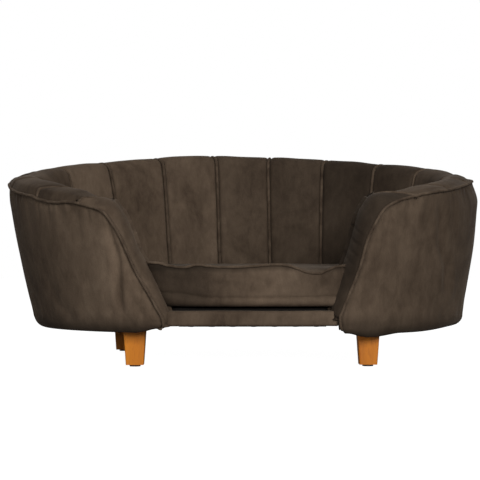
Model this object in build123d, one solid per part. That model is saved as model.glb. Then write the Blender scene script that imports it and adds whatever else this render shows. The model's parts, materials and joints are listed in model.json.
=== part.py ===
from build123d import *
import bisect
import math
import os

# Pet armchair: a tub of channel padding on a plywood frame, a loose seat cushion and four tapered legs.
# Millimetres, +Z up, front towards -Y. The tub is built about the centre of its plan curve,
# then everything is moved so that the origin is the middle of the outline, on the floor.

# Plan curve: the middle line of the padded rim, a superellipse.
# Places along it are in channel pitches, from the middle of the back.
rim_half_width = 379.0
rim_half_depth = 312.0
plan_power_share = 2.1
channel_count = 15
channel_reach_share = 0.7773

# Rim roll, highest at the back and falling towards the front
rim_side_height = 316.0
rim_slope_share = 0.152
roll_radius = 27.0
roll_start_angle = 170.0
roll_end_angle = 15.0
roll_shoulder_angle = 45.0
seam_groove = 7.0
seam_groove_roll = 4.0

# Wall of the tub, as distances outwards (+) or inwards (-) of the plan curve
inner_face_low = -64.0
inner_face_end = -47.0
inner_bend_height = 165.0
pad_back_low = -38.0
pad_back_end = -35.0
pad_back_top = -10.0
outer_face_low = -3.0
outer_face_top = 31.0
cover_thickness = 5.0
cover_top_thickness = 13.0
shell_thickness = 7.0
shell_end_gap = 3.0
cover_corner_radius = 16.0
cover_hem = 14.0
cover_top_drop = 22.0
pad_seat_drop = 20.0
front_edge_lean_share = 0.415
arm_end_share = 0.235

# Levels
tub_bottom = 64.7
board_bottom = 70.0
board_thickness = 10.0
shell_lap = 2.5
board_edge_gap = 2.8
notch_gap = 3.6
fabric_gap = 0.3
sewn_gap = 0.3

# Arm fronts: the padded cap on the end of each arm
cap_forward_shares = (0.0, 0.45, 0.80, 1.0)
cap_inset_shares = (0.06, 0.12, 0.38, 0.75)
cap_depth_top = 12.0
cap_depth_low = 7.0
cap_inset = 20.0
knee_share = 0.13

# Timber
rail_thickness = 15.0
rail_seat_gap = 0.8
rib_thickness = 15.0
front_board_thickness = 12.0
front_board_gap = 3.6
front_board_inner_gap = 2.5
rib_seats = (1.5, 3.5, 5.5)
panel_split_share = 3.5

# Deck and seat front
deck_thickness = 17.4
seat_front_inset = 28.0
seat_front_crown = 6.0
seat_corner_radius = 14.0
rail_front_inset = 30.0
rail_depth = 20.0
rail_cover_thickness = 3.5
rail_cover_top = 95.0
rail_cover_bottom = 70.0
rail_cover_radius = 3.0
rail_end_gap = 2.0
seat_front = seat_front_inset - rim_half_depth
rail_front = rail_front_inset - rim_half_depth

# Seat cushion
seat_gap = 1.0
cushion_bottom = 98.0
cushion_seam = 160.0
cushion_crown = 8.0
cushion_seam_inset = 5.6
cushion_low_inset = 6.0
cushion_waist_inset = 4.5
cushion_full_inset = 1.5
cushion_full_high_inset = 2.6
cushion_wall = 8.0
cushion_panel = 3.0
cushion_piping_radius = 2.2
cushion_piping_gap = 0.8
piping_radius = 2.4
piping_gap = 0.95

# Zip in the back of the cushion
zip_half_reach_share = 1.3
zip_rise = 2.0
zip_groove_height = 12.0
zip_groove_depth = 4.0
zip_half_angle = 17.0
zip_tape_thickness = 1.2
zip_tape_height = 11.4
slider_half_width = 5.0
slider_height = 9.0
slider_thickness = 3.4
zip_gap = 0.3
zip_height = (cushion_bottom + cushion_seam) / 2 + zip_rise

# Legs and their hardware
leg_height = 67.0
leg_top = 38.0
leg_foot = 29.0
leg_edge_radius = 2.0
front_leg_x_share = 0.504
front_leg_y_share = -0.644
rear_leg_x_share = 0.607
rear_leg_y_share = 0.542
glide_radius = 9.0
glide_height = 3.0
glide_pin_radius = 1.5
glide_pin_length = 12.0
bolt_radius = 4.0
bolt_depth_in_leg = 28.0
bolt_gap = 0.2
nut_flange_radius = 11.0
nut_flange_thickness = 1.5
nut_barrel_radius = 5.5
nut_barrel_length = 8.5

# Screws and underside cloth
screw_radius = 2.0
screw_length = 35.0
screw_head_radius = 4.0
screw_head_height = 2.4
rail_screw_length = 30.0
rail_screw_sink = 0.6
rail_screw_shift = 4.5
dust_thickness = 1.2
dust_gap = 1.5
leg_hole_gap = 1.0
overrun = 4.0

# Sampling of the plan curve, and of the cushion's outline for its piping
curve_steps = 4000
curve_pitch = 16.0
corner_steps = 3


# Plan curve by arc length, measured from the middle of the back

def signed_power(value, power):
    return math.copysign(abs(value) ** power, value)


def plan_at_turn(turn):
    power = 2 / plan_power_share
    x = rim_half_width * signed_power(math.sin(turn), power)
    y = rim_half_depth * signed_power(math.cos(turn), power)
    return Vector(x, y, 0)


def plan_table():
    turns = [math.pi * step / curve_steps for step in range(curve_steps + 1)]
    lengths = [0.0]
    last = plan_at_turn(turns[0])
    for turn in turns[1:]:
        point = plan_at_turn(turn)
        lengths.append(lengths[-1] + (point - last).length)
        last = point
    return turns, lengths


turn_table, length_table = plan_table()
channel_pitch = 2 * channel_reach_share * length_table[-1] / channel_count


def plan_at(length):
    place = bisect.bisect_left(length_table, length)
    place = min(max(place, 1), curve_steps)
    low = length_table[place - 1]
    share = (length - low) / (length_table[place] - low)
    turn = turn_table[place - 1] + share * (turn_table[place] - turn_table[place - 1])
    return plan_at_turn(turn)


def plan_normal(point):
    power = plan_power_share - 1
    x = signed_power(point.X / rim_half_width, power) / rim_half_width
    y = signed_power(point.Y / rim_half_depth, power) / rim_half_depth
    return Vector(x, y, 0).normalized()


# A station is a section plane of the wall. Seats count channel pitches from the middle of the back.
# Stations on the last channel lean forward, so that the arm front falls away as on the chair.

last_seat = channel_count / 2 + arm_end_share
lean_start_seat = channel_count / 2 - 1
board_top = board_bottom + board_thickness
seam_share = sewn_gap / channel_pitch


def rim_top_at(point):
    return rim_side_height + rim_slope_share * point.Y


def arm_end_fall():
    start = plan_at(last_seat * channel_pitch)
    height = rim_top_at(start) - roll_radius - board_bottom
    end = plan_at(last_seat * channel_pitch + height * front_edge_lean_share)
    return (end - start).normalized(), plan_normal(end), height


class Station:
    def __init__(self, seat, cap_share=0.0, forward=0.0):
        self.side = -1.0 if seat < 0 else 1.0
        self.length = abs(seat) * channel_pitch
        reach = (abs(seat) - lean_start_seat - seam_share) / (last_seat - lean_start_seat - seam_share)
        self.lean_share = min(max(reach, 0.0), 1.0)
        origin = plan_at(self.length)
        chord, end_normal, height = arm_end_fall()
        self.end_normal = end_normal
        self.top = rim_top_at(origin)
        self.level = self.top - roll_radius
        self.is_end = abs(seat) >= last_seat
        self.origin = origin + chord * (forward + cap_depth_top * cap_share)
        self.normal = end_normal if self.is_end else plan_normal(origin)
        cap_lean = (cap_depth_top - cap_depth_low) * cap_share / height
        self.lean = chord * (cap_lean - front_edge_lean_share)

    def right_at(self, out, z):
        if self.is_end:
            return self.origin + self.normal * out + self.lean * (z - self.level)
        shift = front_edge_lean_share * self.lean_share * (self.level - z)
        point = plan_at(self.length + shift)
        turned_share = self.lean_share**2
        normal = plan_normal(point) * (1 - turned_share) + self.end_normal * turned_share
        return point + normal.normalized() * out

    def at(self, out, z):
        point = self.right_at(out, z)
        return Vector(self.side * point.X, point.Y, z)


# Lines of the wall in a station, by height

def blend(z, low_z, high_z, low, high):
    return low + (high - low) * (z - low_z) / (high_z - low_z)


pad_bottom = board_top + fabric_gap
corner_top = tub_bottom + cover_corner_radius


def outer_line(station, z):
    return blend(z, corner_top, station.top - cover_top_drop, outer_face_low, outer_face_top)


# The wadding under the outer cover is thicker towards the rim

def cover_inner(station, z):
    high_z = station.top - cover_top_drop
    return outer_line(station, z) - blend(z, corner_top, high_z, cover_thickness, cover_top_thickness)


def shell_outer(station, z):
    return cover_inner(station, z) - fabric_gap - shell_end_gap * station.lean_share


def shell_inner(station, z):
    return shell_outer(station, z) - shell_thickness


def inner_face(station):
    return blend(station.lean_share, 0, 1, inner_face_low, inner_face_end)


def pad_back_foot(station):
    return blend(station.lean_share, 0, 1, pad_back_low, pad_back_end)


def pad_back(station, z):
    return blend(z, pad_bottom, station.top - pad_seat_drop, pad_back_foot(station), pad_back_top)


def roll_point(station, radius, angle):
    turn = math.radians(angle)
    return station.at(radius * math.cos(turn), station.level + radius * math.sin(turn))


# Wires in a station's plane: a list of runs, each with 2 points for a line or 3 for an arc

def wire_of(runs):
    edges = []
    for run in runs:
        if len(run) == 2:
            edges.append(Edge.make_line(run[0], run[1]))
        else:
            edges.append(Edge.make_three_point_arc(run[0], run[1], run[2]))
    return Wire(edges)


def polygon(points):
    return wire_of(list(zip(points, points[1:] + points[:1])))


def solid_loft(wires, ruled=False):
    body = Solid.make_loft(wires, ruled)
    if body.volume < 0:
        body = Solid(body.wrapped.Reversed())
    return body


def pad_section(station, groove, roll_groove):
    radius = roll_radius - roll_groove
    middle = (roll_start_angle + 90) / 2
    inner_low = station.at(inner_face(station) + groove, pad_bottom)
    inner_bend = station.at(inner_face(station) + groove, inner_bend_height)
    roll_start = roll_point(station, radius, roll_start_angle)
    roll_middle = roll_point(station, radius, middle)
    roll_top = roll_point(station, radius, 90)
    roll_shoulder = roll_point(station, radius, roll_shoulder_angle)
    roll_end = roll_point(station, radius, roll_end_angle)
    seat_z = station.top - pad_seat_drop
    back_high = station.at(pad_back_top, seat_z)
    back_foot = station.at(pad_back_foot(station), pad_bottom)
    runs = [
        (inner_low, inner_bend),
        (inner_bend, roll_start),
        (roll_start, roll_middle, roll_top),
        (roll_top, roll_shoulder, roll_end),
        (roll_end, back_high),
        (back_high, back_foot),
        (back_foot, inner_low),
    ]
    return wire_of(runs)


# The last station is a flat plane that leans; what ends on it stops a hair before it

def end_clear(seat):
    if abs(seat) > last_seat - seam_share:
        return Station(math.copysign(last_seat, seat), forward=-sewn_gap / 2)
    return Station(seat)


# Channel pads: crowned between their seams, drawn in at each seam

pad_crown_shares = ((0.0, 1.0), (0.16, 0.34), (0.5, 0.0), (0.84, 0.34), (1.0, 1.0))


def channel_pad(first_seat):
    wires = []
    width = last_seat - first_seat if first_seat >= lean_start_seat else 1.0
    for along, depth in pad_crown_shares:
        seat = first_seat + seam_share / 2 + along * (width - seam_share)
        wires.append(pad_section(end_clear(seat), seam_groove * depth, seam_groove_roll * depth))
    return solid_loft(wires)


# Padded caps on the arm fronts

def arm_cap():
    wires = []
    start = sewn_gap / 2
    for forward, inset_share in zip(cap_forward_shares, cap_inset_shares):
        inset = cap_inset * inset_share
        station = Station(last_seat, forward, start)
        radius = roll_radius - inset
        inner_low = station.at(inner_face_end + inset, tub_bottom + inset / 2)
        inner_bend = station.at(inner_face_end + inset, inner_bend_height)
        roll_start = roll_point(station, radius, roll_start_angle)
        roll_middle = roll_point(station, radius, (roll_start_angle + 90) / 2)
        roll_top = roll_point(station, radius, 90)
        roll_shoulder = roll_point(station, radius, roll_shoulder_angle)
        roll_end = roll_point(station, radius, roll_end_angle)
        outer_foot = station.at(outer_line(station, corner_top) - inset, corner_top)
        outer_low = station.at(
            outer_line(station, corner_top) - inset - cover_corner_radius / 2, tub_bottom + inset / 2
        )
        runs = [
            (inner_low, inner_bend),
            (inner_bend, roll_start),
            (roll_start, roll_middle, roll_top),
            (roll_top, roll_shoulder, roll_end),
            (roll_end, outer_foot),
            (outer_foot, outer_low),
            (outer_low, inner_low),
        ]
        wires.append(wire_of(runs))
    return solid_loft(wires)


# Outer cover, shell boards and top rails follow the wall from station to station

def seats_between(first, last, step_share=0.25):
    count = round((last - first) / step_share)
    return [first + (last - first) * step / count for step in range(count + 1)]


def trimmed_seats(first, last):
    seats = seats_between(first, last)
    seats[0] = first + seam_share / 2
    seats[-1] = last - seam_share / 2
    return seats


def cover_section(station):
    top_z = station.top - cover_top_drop
    low = outer_line(station, corner_top)
    turn = math.sqrt(0.5)
    centre = low - cover_corner_radius
    inner_radius = cover_corner_radius - cover_thickness
    inner_top = cover_inner(station, top_z)
    outer_turn_z = corner_top - cover_corner_radius * turn
    inner_turn_z = corner_top - inner_radius * turn
    runs = [
        (station.at(centre - cover_hem, tub_bottom), station.at(centre, tub_bottom)),
        (
            station.at(centre, tub_bottom),
            station.at(centre + cover_corner_radius * turn, outer_turn_z),
            station.at(low, corner_top),
        ),
        (station.at(low, corner_top), station.at(outer_face_top, top_z)),
        (station.at(outer_face_top, top_z), station.at(inner_top, top_z)),
        (station.at(inner_top, top_z), station.at(low - cover_thickness, corner_top)),
        (
            station.at(low - cover_thickness, corner_top),
            station.at(centre + inner_radius * turn, inner_turn_z),
            station.at(centre, tub_bottom + cover_thickness),
        ),
        (
            station.at(centre, tub_bottom + cover_thickness),
            station.at(centre - cover_hem, tub_bottom + cover_thickness),
        ),
        (
            station.at(centre - cover_hem, tub_bottom + cover_thickness),
            station.at(centre - cover_hem, tub_bottom),
        ),
    ]
    return wire_of(runs)


def shell_section(station):
    top_z = station.top - cover_top_drop - fabric_gap
    foot_z = board_top - shell_lap
    points = [
        station.at(shell_outer(station, foot_z), foot_z),
        station.at(shell_outer(station, top_z), top_z),
        station.at(shell_inner(station, top_z), top_z),
        station.at(shell_inner(station, foot_z), foot_z),
    ]
    return polygon(points)


def top_rail_section(station):
    top_z = station.top - pad_seat_drop - rail_seat_gap
    low_z = top_z - rail_thickness
    inner = pad_back_top + fabric_gap
    outer = shell_inner(station, low_z) - fabric_gap - front_board_gap * station.lean_share
    points = [
        station.at(inner, low_z),
        station.at(inner, top_z),
        station.at(outer, top_z),
        station.at(outer, low_z),
    ]
    return polygon(points)


def wall_strip(section, first, last):
    wires = [section(end_clear(seat)) for seat in trimmed_seats(first, last)]
    return solid_loft(wires)


# Ribs: plywood uprights between the pads and the shell

def rib_outline(station, inner_gap, outer_gap):
    foot_z = board_top
    head_z = station.top - pad_seat_drop - rail_thickness - rail_seat_gap - fabric_gap
    points = [
        station.at(pad_back(station, foot_z) + inner_gap, foot_z),
        station.at(pad_back(station, head_z) + inner_gap, head_z),
        station.at(shell_inner(station, head_z) - outer_gap, head_z),
        station.at(shell_inner(station, foot_z) - outer_gap, foot_z),
    ]
    return points


def slab_between(points, shift_low, shift_high):
    near = polygon([point + shift_low for point in points])
    far = polygon([point + shift_high for point in points])
    return solid_loft([near, far], True)


def rib(seat):
    half_share = rib_thickness / 2 / channel_pitch
    near = polygon(rib_outline(Station(seat - half_share), fabric_gap, fabric_gap))
    far = polygon(rib_outline(Station(seat + half_share), fabric_gap, fabric_gap))
    return solid_loft([near, far], True)


def arm_front_board():
    station = Station(last_seat)
    chord, end_normal, height = arm_end_fall()
    outline = rib_outline(station, front_board_inner_gap, front_board_gap)
    return slab_between(outline, chord * (-sewn_gap - front_board_thickness), chord * (-sewn_gap))


# Closed outlines in plan: the lining's inner line round the tub, and a tongue between the arms

def cap_inner_x(z):
    reaches = []
    for forward, inset_share in zip(cap_forward_shares, cap_inset_shares):
        station = Station(last_seat, forward, sewn_gap / 2)
        reaches.append(station.at(inner_face_end + cap_inset * inset_share, z).X)
    return min(reaches)


def tongue_half_width(z):
    return cap_inner_x(z) - 2 * seat_gap


round_seat_list = [0.0, zip_half_reach_share / 2, zip_half_reach_share]
round_seat_list += [1.9, 2.5, 3.2, 3.9, 4.6, 5.3, 5.9, 6.5, 7.0, last_seat]


def seat_outline(z, inset, front):
    stations = [Station(seat) for seat in round_seat_list]
    right = [station.at(inner_face(station) - seat_gap - inset, z) for station in stations]
    half = tongue_half_width(z) - inset
    shoulder = right[-1]
    side_y = shoulder.Y - (shoulder.X - half)
    tip_y = front + inset
    corner = seat_corner_radius
    turn = math.sqrt(0.5)
    side_top = Vector(half, side_y, z)
    side_low = Vector(half, tip_y + seat_front_crown + corner, z)
    corner_mid = Vector(half - corner * (1 - turn), tip_y + seat_front_crown + corner * (1 - turn), z)
    corner_end = Vector(half - corner, tip_y + seat_front_crown, z)
    front_mid = Vector(0, tip_y, z)

    def flip(point):
        return Vector(-point.X, point.Y, point.Z)

    runs = [(flip(right[2]), right[0], right[2])]
    arcs = [(right[place], right[place + 1], right[place + 2]) for place in range(2, len(right) - 2, 2)]
    arcs.append((shoulder, side_top))
    arcs.append((side_top, side_low))
    arcs.append((side_low, corner_mid, corner_end))
    runs += arcs
    runs.append((corner_end, front_mid, flip(corner_end)))
    runs += [tuple(flip(point) for point in reversed(run)) for run in reversed(arcs)]
    return wire_of(runs)


def plan_prism(z_low, z_high, inset, front):
    return solid_loft([seat_outline(z_low, inset, front), seat_outline(z_high, inset, front)], True)


# Base board: the whole plan, notched where the arm caps hang over its front corners

def base_outline(z, out, front):
    seats = seats_between(0, last_seat, 0.5)
    stations = [Station(seat) for seat in seats]
    side = [station.at(out - shell_end_gap * station.lean_share, z) for station in stations]
    level_seat = Station(last_seat, forward=-notch_gap)
    inner = level_seat.at(inner_face_end - notch_gap, board_top)
    half = tongue_half_width(tub_bottom) - notch_gap
    side[-1] = level_seat.at(out - shell_end_gap, board_top)
    side[-1] = Vector(side[-1].X, side[-1].Y, z)
    notch = Vector(inner.X, inner.Y, z)
    notch_front = Vector(half, inner.Y - (inner.X - half), z)
    tip = Vector(half, front, z)

    def flip(point):
        return Vector(-point.X, point.Y, point.Z)

    arcs = []
    for place in range(0, len(side) - 2, 2):
        arcs.append((side[place], side[place + 1], side[place + 2]))
    arcs.append((side[-2], side[-1]))
    arcs.append((side[-1], notch))
    arcs.append((notch, notch_front))
    arcs.append((notch_front, tip))
    runs = list(arcs)
    runs.append((tip, flip(tip)))
    runs += [tuple(flip(point) for point in reversed(run)) for run in reversed(arcs)]
    return wire_of(runs)


def flat_sheet(wire, thickness):
    return extrude(Face(wire), thickness, dir=(0, 0, 1))


# Round bars

def bar(x, y, z_low, z_high, radius):
    return Pos(x, y, z_low) * Solid.make_cylinder(radius, z_high - z_low)


front_leg_x = front_leg_x_share * rim_half_width
front_leg_y = front_leg_y_share * rim_half_depth
rear_leg_x = rear_leg_x_share * rim_half_width
rear_leg_y = rear_leg_y_share * rim_half_depth
leg_places = (
    ("front_right", front_leg_x, front_leg_y),
    ("front_left", -front_leg_x, front_leg_y),
    ("rear_right", rear_leg_x, rear_leg_y),
    ("rear_left", -rear_leg_x, rear_leg_y),
)
leg_bottom = board_bottom - leg_height
bolt_top = board_top - bolt_gap
bolt_foot = board_bottom - bolt_depth_in_leg


def square_at(x, y, z, width):
    half = width / 2
    return polygon(
        [
            Vector(x - half, y - half, z),
            Vector(x + half, y - half, z),
            Vector(x + half, y + half, z),
            Vector(x - half, y + half, z),
        ]
    )


def leg(x, y):
    body = solid_loft([square_at(x, y, leg_bottom, leg_foot), square_at(x, y, board_bottom, leg_top)], True)
    uprights = body.edges().filter_by(lambda edge: abs((edge @ 0).Z - (edge @ 1).Z) > leg_height / 2)
    body = body.fillet(leg_edge_radius, uprights)
    body = body - bar(x, y, bolt_foot - bolt_gap, board_bottom + overrun, bolt_radius + bolt_gap)
    body = body - bar(
        x, y, leg_bottom - overrun, leg_bottom + glide_pin_length + bolt_gap, glide_pin_radius + bolt_gap
    )
    return body


def glide(x, y):
    disc = bar(x, y, leg_bottom - glide_height, leg_bottom, glide_radius)
    pin = bar(x, y, leg_bottom - bolt_gap, leg_bottom + glide_pin_length, glide_pin_radius)
    return disc + pin


def hanger_bolt(x, y):
    return bar(x, y, bolt_foot, bolt_top, bolt_radius)


def tee_nut(x, y):
    flange = bar(x, y, board_top - nut_flange_thickness, board_top, nut_flange_radius)
    barrel = bar(x, y, board_top - nut_barrel_length, board_top, nut_barrel_radius)
    return flange + barrel - bar(x, y, board_bottom, board_top + overrun, bolt_radius + bolt_gap)


# Screws that hold each rib to the base board, and each top rail to a rib

def rib_foot_centre(seat):
    station = Station(seat)
    middle = (pad_back(station, board_top) + shell_inner(station, board_top)) / 2
    return station.at(middle, board_top)


def rail_screw_seats(seat):
    if seat == panel_split_share:
        shift_share = rail_screw_shift / channel_pitch
        return (seat - shift_share, seat + shift_share)
    return (seat,)


def rib_head_centre(seat):
    station = Station(seat)
    head_z = station.top - pad_seat_drop - rail_seat_gap
    middle = (pad_back_top + shell_inner(station, head_z)) / 2
    return station.at(middle, head_z)


def screw_up(x, y, z, length):
    shank = bar(x, y, z, z + length, screw_radius)
    head = Pos(x, y, z) * Solid.make_cone(screw_head_radius, screw_radius, screw_head_height)
    return shank + head


def screw_down(x, y, z, length):
    shank = bar(x, y, z - length, z, screw_radius)
    cone = Solid.make_cone(screw_radius, screw_head_radius, screw_head_height)
    head = Pos(x, y, z - screw_head_height) * cone
    return shank + head


# Tubes along straight runs joined by tangent arcs

bend_share = 0.45


def bend_radii(points, closed):
    radii = []
    count = len(points)
    places = range(count) if closed else range(1, count - 1)
    for place in places:
        before = points[place] - points[place - 1]
        after = points[(place + 1) % count] - points[place]
        half_turn = math.radians(before.get_angle(after)) / 2
        shorter = min(before.length, after.length)
        radii.append(bend_share * shorter / math.tan(half_turn))
    return radii


def tube(points, radius, closed=False):
    path = FilletPolyline(*points, radius=bend_radii(points, closed), close=closed)
    start = path @ 0
    section = Plane(origin=start, z_dir=path % 0) * Circle(radius)
    return sweep(section, path=path)


def points_along(wire):
    edges = wire.order_edges()
    total = sum(edge.length for edge in edges)
    points = []
    passed = 0.0
    for edge in edges:
        is_arc = edge.geom_type == GeomType.CIRCLE
        count = max(round(edge.length / curve_pitch), corner_steps) if is_arc else 1
        for step in range(count):
            points.append(wire @ ((passed + edge.length * step / count) / total))
        passed += edge.length
    return points


def rim_piping_points():
    out = roll_radius + piping_radius + piping_gap
    drop = pad_seat_drop - piping_gap
    rim_seats = seats_between(0, last_seat - knee_share)
    rim = [Station(seat).at(out, Station(seat).top - drop) for seat in rim_seats]
    forward = sewn_gap + piping_radius / 2
    station = Station(last_seat, forward=forward)
    fall_shares = (1.0, 0.04)
    fall = []
    for share in fall_shares:
        z = tub_bottom + share * (station.top - cover_top_drop - tub_bottom)
        fall.append(station.at(outer_line(station, z) + piping_radius + piping_gap, z))
    right = rim + fall
    left = [Vector(-point.X, point.Y, point.Z) for point in right[1:]]
    return list(reversed(left)) + right


def mirrored(shape):
    return mirror(shape, Plane.YZ)


# Assembly

parts = {}


def pair(name, shape):
    parts[name + "_right"] = shape
    parts[name + "_left"] = mirrored(shape)


parts["channel_pad_back_0"] = channel_pad(-0.5)
for number in range(1, channel_count // 2 + 1):
    pad = channel_pad(number - 0.5)
    parts["channel_pad_right_" + str(number)] = pad
    parts["channel_pad_left_" + str(number)] = mirrored(pad)

pair("arm_front_pad", arm_cap())
parts["outer_cover_back"] = wall_strip(cover_section, -panel_split_share, panel_split_share)
pair("outer_cover", wall_strip(cover_section, panel_split_share, last_seat))
parts["shell_board_back"] = wall_strip(shell_section, -panel_split_share, panel_split_share)
pair("shell_board", wall_strip(shell_section, panel_split_share, last_seat))
parts["top_rail_back"] = wall_strip(top_rail_section, -panel_split_share, panel_split_share)
pair("top_rail", wall_strip(top_rail_section, panel_split_share, last_seat))

rib_screw_list = []
rail_screw_list = []
for number, seat in enumerate(rib_seats, 1):
    foot = rib_foot_centre(seat)
    up = screw_up(foot.X, foot.Y, board_bottom, screw_length)
    rib_screw_list += [up, mirrored(up)]
    shape = rib(seat) - up
    for screw_seat in rail_screw_seats(seat):
        head = rib_head_centre(screw_seat)
        head_z = head.Z - rail_screw_sink
        down = screw_down(head.X, head.Y, head_z, rail_screw_length)
        hole = down + bar(head.X, head.Y, head_z, head_z + overrun, screw_head_radius)
        rail_screw_list += [down, mirrored(down)]
        shape = shape - down
        side = "top_rail_back" if screw_seat < panel_split_share else "top_rail_right"
        parts[side] = parts[side] - hole
        if screw_seat < panel_split_share:
            parts[side] = parts[side] - mirrored(hole)
    pair("rib_" + str(number), shape)
parts["top_rail_left"] = mirrored(parts["top_rail_right"])
front_board = arm_front_board()
pair("arm_front_board", front_board)

bolts = []
nuts = []
glides = []
for name, x, y in leg_places:
    parts["leg_" + name] = leg(x, y)
    bolts.append(hanger_bolt(x, y))
    nuts.append(tee_nut(x, y))
    glides.append(glide(x, y))

board_inset = shell_inner(Station(0.0), board_top - shell_lap) - board_edge_gap
board_front = rail_front + rail_cover_thickness
board = flat_sheet(base_outline(board_bottom, board_inset, board_front), board_thickness)
for tool in nuts + rib_screw_list:
    board = board - tool
for name, x, y in leg_places:
    board = board - bar(x, y, board_bottom - overrun, board_top + overrun, bolt_radius + bolt_gap)
parts["base_board"] = board

parts["hanger_bolts"] = Compound(bolts)
parts["tee_nuts"] = Compound(nuts)
parts["leg_glides"] = Compound(glides)
parts["rib_screws"] = Compound(rib_screw_list)
parts["top_rail_screws"] = Compound(rail_screw_list)

# Front rail and its padded cover
rail_half = tongue_half_width(board_top) - rail_end_gap
rail_back = rail_front + rail_cover_thickness + rail_depth
rail_mid_y = rail_front + rail_cover_thickness + fabric_gap + rail_depth / 2
rail_height = rail_cover_top - rail_cover_thickness - fabric_gap - board_top
rail_mid_z = board_top + rail_height / 2
parts["front_rail"] = Pos(0, rail_mid_y, rail_mid_z) * Box(2 * rail_half, rail_depth, rail_height)

deck_front = rail_back + 2 * fabric_gap
parts["deck_pad"] = plan_prism(pad_bottom, pad_bottom + deck_thickness, fabric_gap, deck_front)

# Padded cover of the front rail: a channel section open to the rear
cover_front = rail_front
cover_back = rail_back
lip_low = rail_cover_top - rail_cover_thickness
outer_points = [
    Vector(-rail_half, cover_back, rail_cover_top),
    Vector(-rail_half, cover_front, rail_cover_top),
    Vector(-rail_half, cover_front, rail_cover_bottom),
    Vector(-rail_half, cover_front + rail_cover_thickness, rail_cover_bottom),
    Vector(-rail_half, cover_front + rail_cover_thickness, lip_low),
    Vector(-rail_half, cover_back, lip_low),
]
rail_cover = extrude(Face(polygon(outer_points)), 2 * rail_half, dir=(1, 0, 0)).solid()
long_edges = rail_cover.edges().filter_by(Axis.X)
front_edges = [edge for edge in long_edges if edge.center().Y < cover_front + fabric_gap]
parts["front_rail_cover"] = rail_cover.fillet(rail_cover_radius, front_edges)

# Underside cloth, with a clear square hole round each leg
dust_top = board_bottom - fabric_gap
dust_wire = base_outline(
    dust_top - dust_thickness,
    outer_face_low - cover_corner_radius - cover_hem - dust_gap,
    rail_front + rail_cover_thickness + dust_gap,
)
dust = flat_sheet(dust_wire, dust_thickness)
for name, x, y in leg_places:
    hole = leg_top + 2 * leg_hole_gap
    dust = dust - Pos(x, y, dust_top) * Box(hole, hole, 2 * dust_thickness + overrun)
parts["dust_cover"] = dust

# Seat cushion: foam core, bottom panel, boxing drawn in at its waist, crowned top panel and piping
boxing_bottom = cushion_bottom + cushion_panel + sewn_gap
boxing_level_shares = (0.0, 0.2, 0.5, 0.8, 1.0)
boxing_insets = (
    cushion_low_inset, cushion_full_inset, cushion_waist_inset, cushion_full_high_inset, cushion_seam_inset
)
shell_levels = [
    (blend(share, 0, 1, boxing_bottom, cushion_seam), inset)
    for share, inset in zip(boxing_level_shares, boxing_insets)
]


def cushion_wire(z, inset):
    return seat_outline(z, inset, seat_front)


def scaled_outline(z, inset, size_share):
    flat = cushion_wire(z, inset)
    centre_y = (rim_half_depth + inner_face_low + seat_front) / 2
    return Pos(0, centre_y * (1 - size_share), z * (1 - size_share)) * flat.scale(size_share)


boxing = solid_loft([cushion_wire(z, inset) for z, inset in shell_levels])
inner_inset = cushion_waist_inset + cushion_wall
hollow = solid_loft(
    [
        cushion_wire(boxing_bottom - overrun, inner_inset),
        cushion_wire(cushion_seam + overrun, inner_inset),
    ],
    True,
)
boxing = boxing - hollow
parts["cushion_foam"] = solid_loft(
    [
        cushion_wire(boxing_bottom, inner_inset + fabric_gap),
        cushion_wire(cushion_seam, inner_inset + fabric_gap),
    ],
    True,
)
parts["cushion_bottom_panel"] = solid_loft(
    [
        cushion_wire(cushion_bottom, cushion_low_inset + cushion_panel),
        cushion_wire(cushion_bottom + cushion_panel, cushion_low_inset),
    ],
    True,
)

crown_shares = ((0.0, 1.0), (0.30, 0.97), (0.62, 0.84), (0.86, 0.62), (1.0, 0.36))
panel_low = cushion_seam + sewn_gap
crown_wires = []
for rise_share, size_share in crown_shares:
    z = panel_low + rise_share * cushion_crown
    crown_wires.append(scaled_outline(z, cushion_seam_inset, size_share))
parts["cushion_top_panel"] = solid_loft(crown_wires)

# Zip let into the back of the boxing. The back of the cushion is one arc, and the slider runs on it.
zip_end = Station(zip_half_reach_share)
zip_out = inner_face_low - seat_gap - cushion_waist_inset
zip_edge = zip_end.at(zip_out, zip_height)
zip_mid = Station(0.0).at(zip_out, zip_height)
zip_sagitta = zip_mid.Y - zip_edge.Y
zip_radius = (zip_edge.X**2 + zip_sagitta**2) / (2 * zip_sagitta)
zip_centre_y = zip_mid.Y - zip_radius


def arc_band(radius_low, radius_high, half_angle, height):
    turn = math.radians(half_angle)

    def spot(radius, angle):
        y = zip_centre_y + radius * math.cos(angle)
        return Vector(radius * math.sin(angle), y, zip_height - height / 2)

    runs = [
        (spot(radius_low, -turn), spot(radius_low, 0), spot(radius_low, turn)),
        (spot(radius_low, turn), spot(radius_high, turn)),
        (spot(radius_high, turn), spot(radius_high, 0), spot(radius_high, -turn)),
        (spot(radius_high, -turn), spot(radius_low, -turn)),
    ]
    return flat_sheet(wire_of(runs), height)


groove_floor = zip_radius - zip_groove_depth
groove_end_angle = math.degrees(slider_half_width / zip_radius)
groove = arc_band(groove_floor, zip_radius + overrun, zip_half_angle, zip_groove_height)
parts["cushion_boxing"] = boxing - groove
tape_top = groove_floor + zip_gap + zip_tape_thickness
tape_half_angle = zip_half_angle - groove_end_angle / 4
parts["zip_tape"] = arc_band(groove_floor + zip_gap, tape_top, tape_half_angle, zip_tape_height)
slider = arc_band(tape_top + zip_gap, tape_top + zip_gap + slider_thickness, groove_end_angle, slider_height)
zip_rest_angle = zip_half_angle - 2 * groove_end_angle
parts["zip_slider"] = slider.rotate(Axis((0, zip_centre_y, 0), (0, 0, 1)), -zip_rest_angle)

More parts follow.
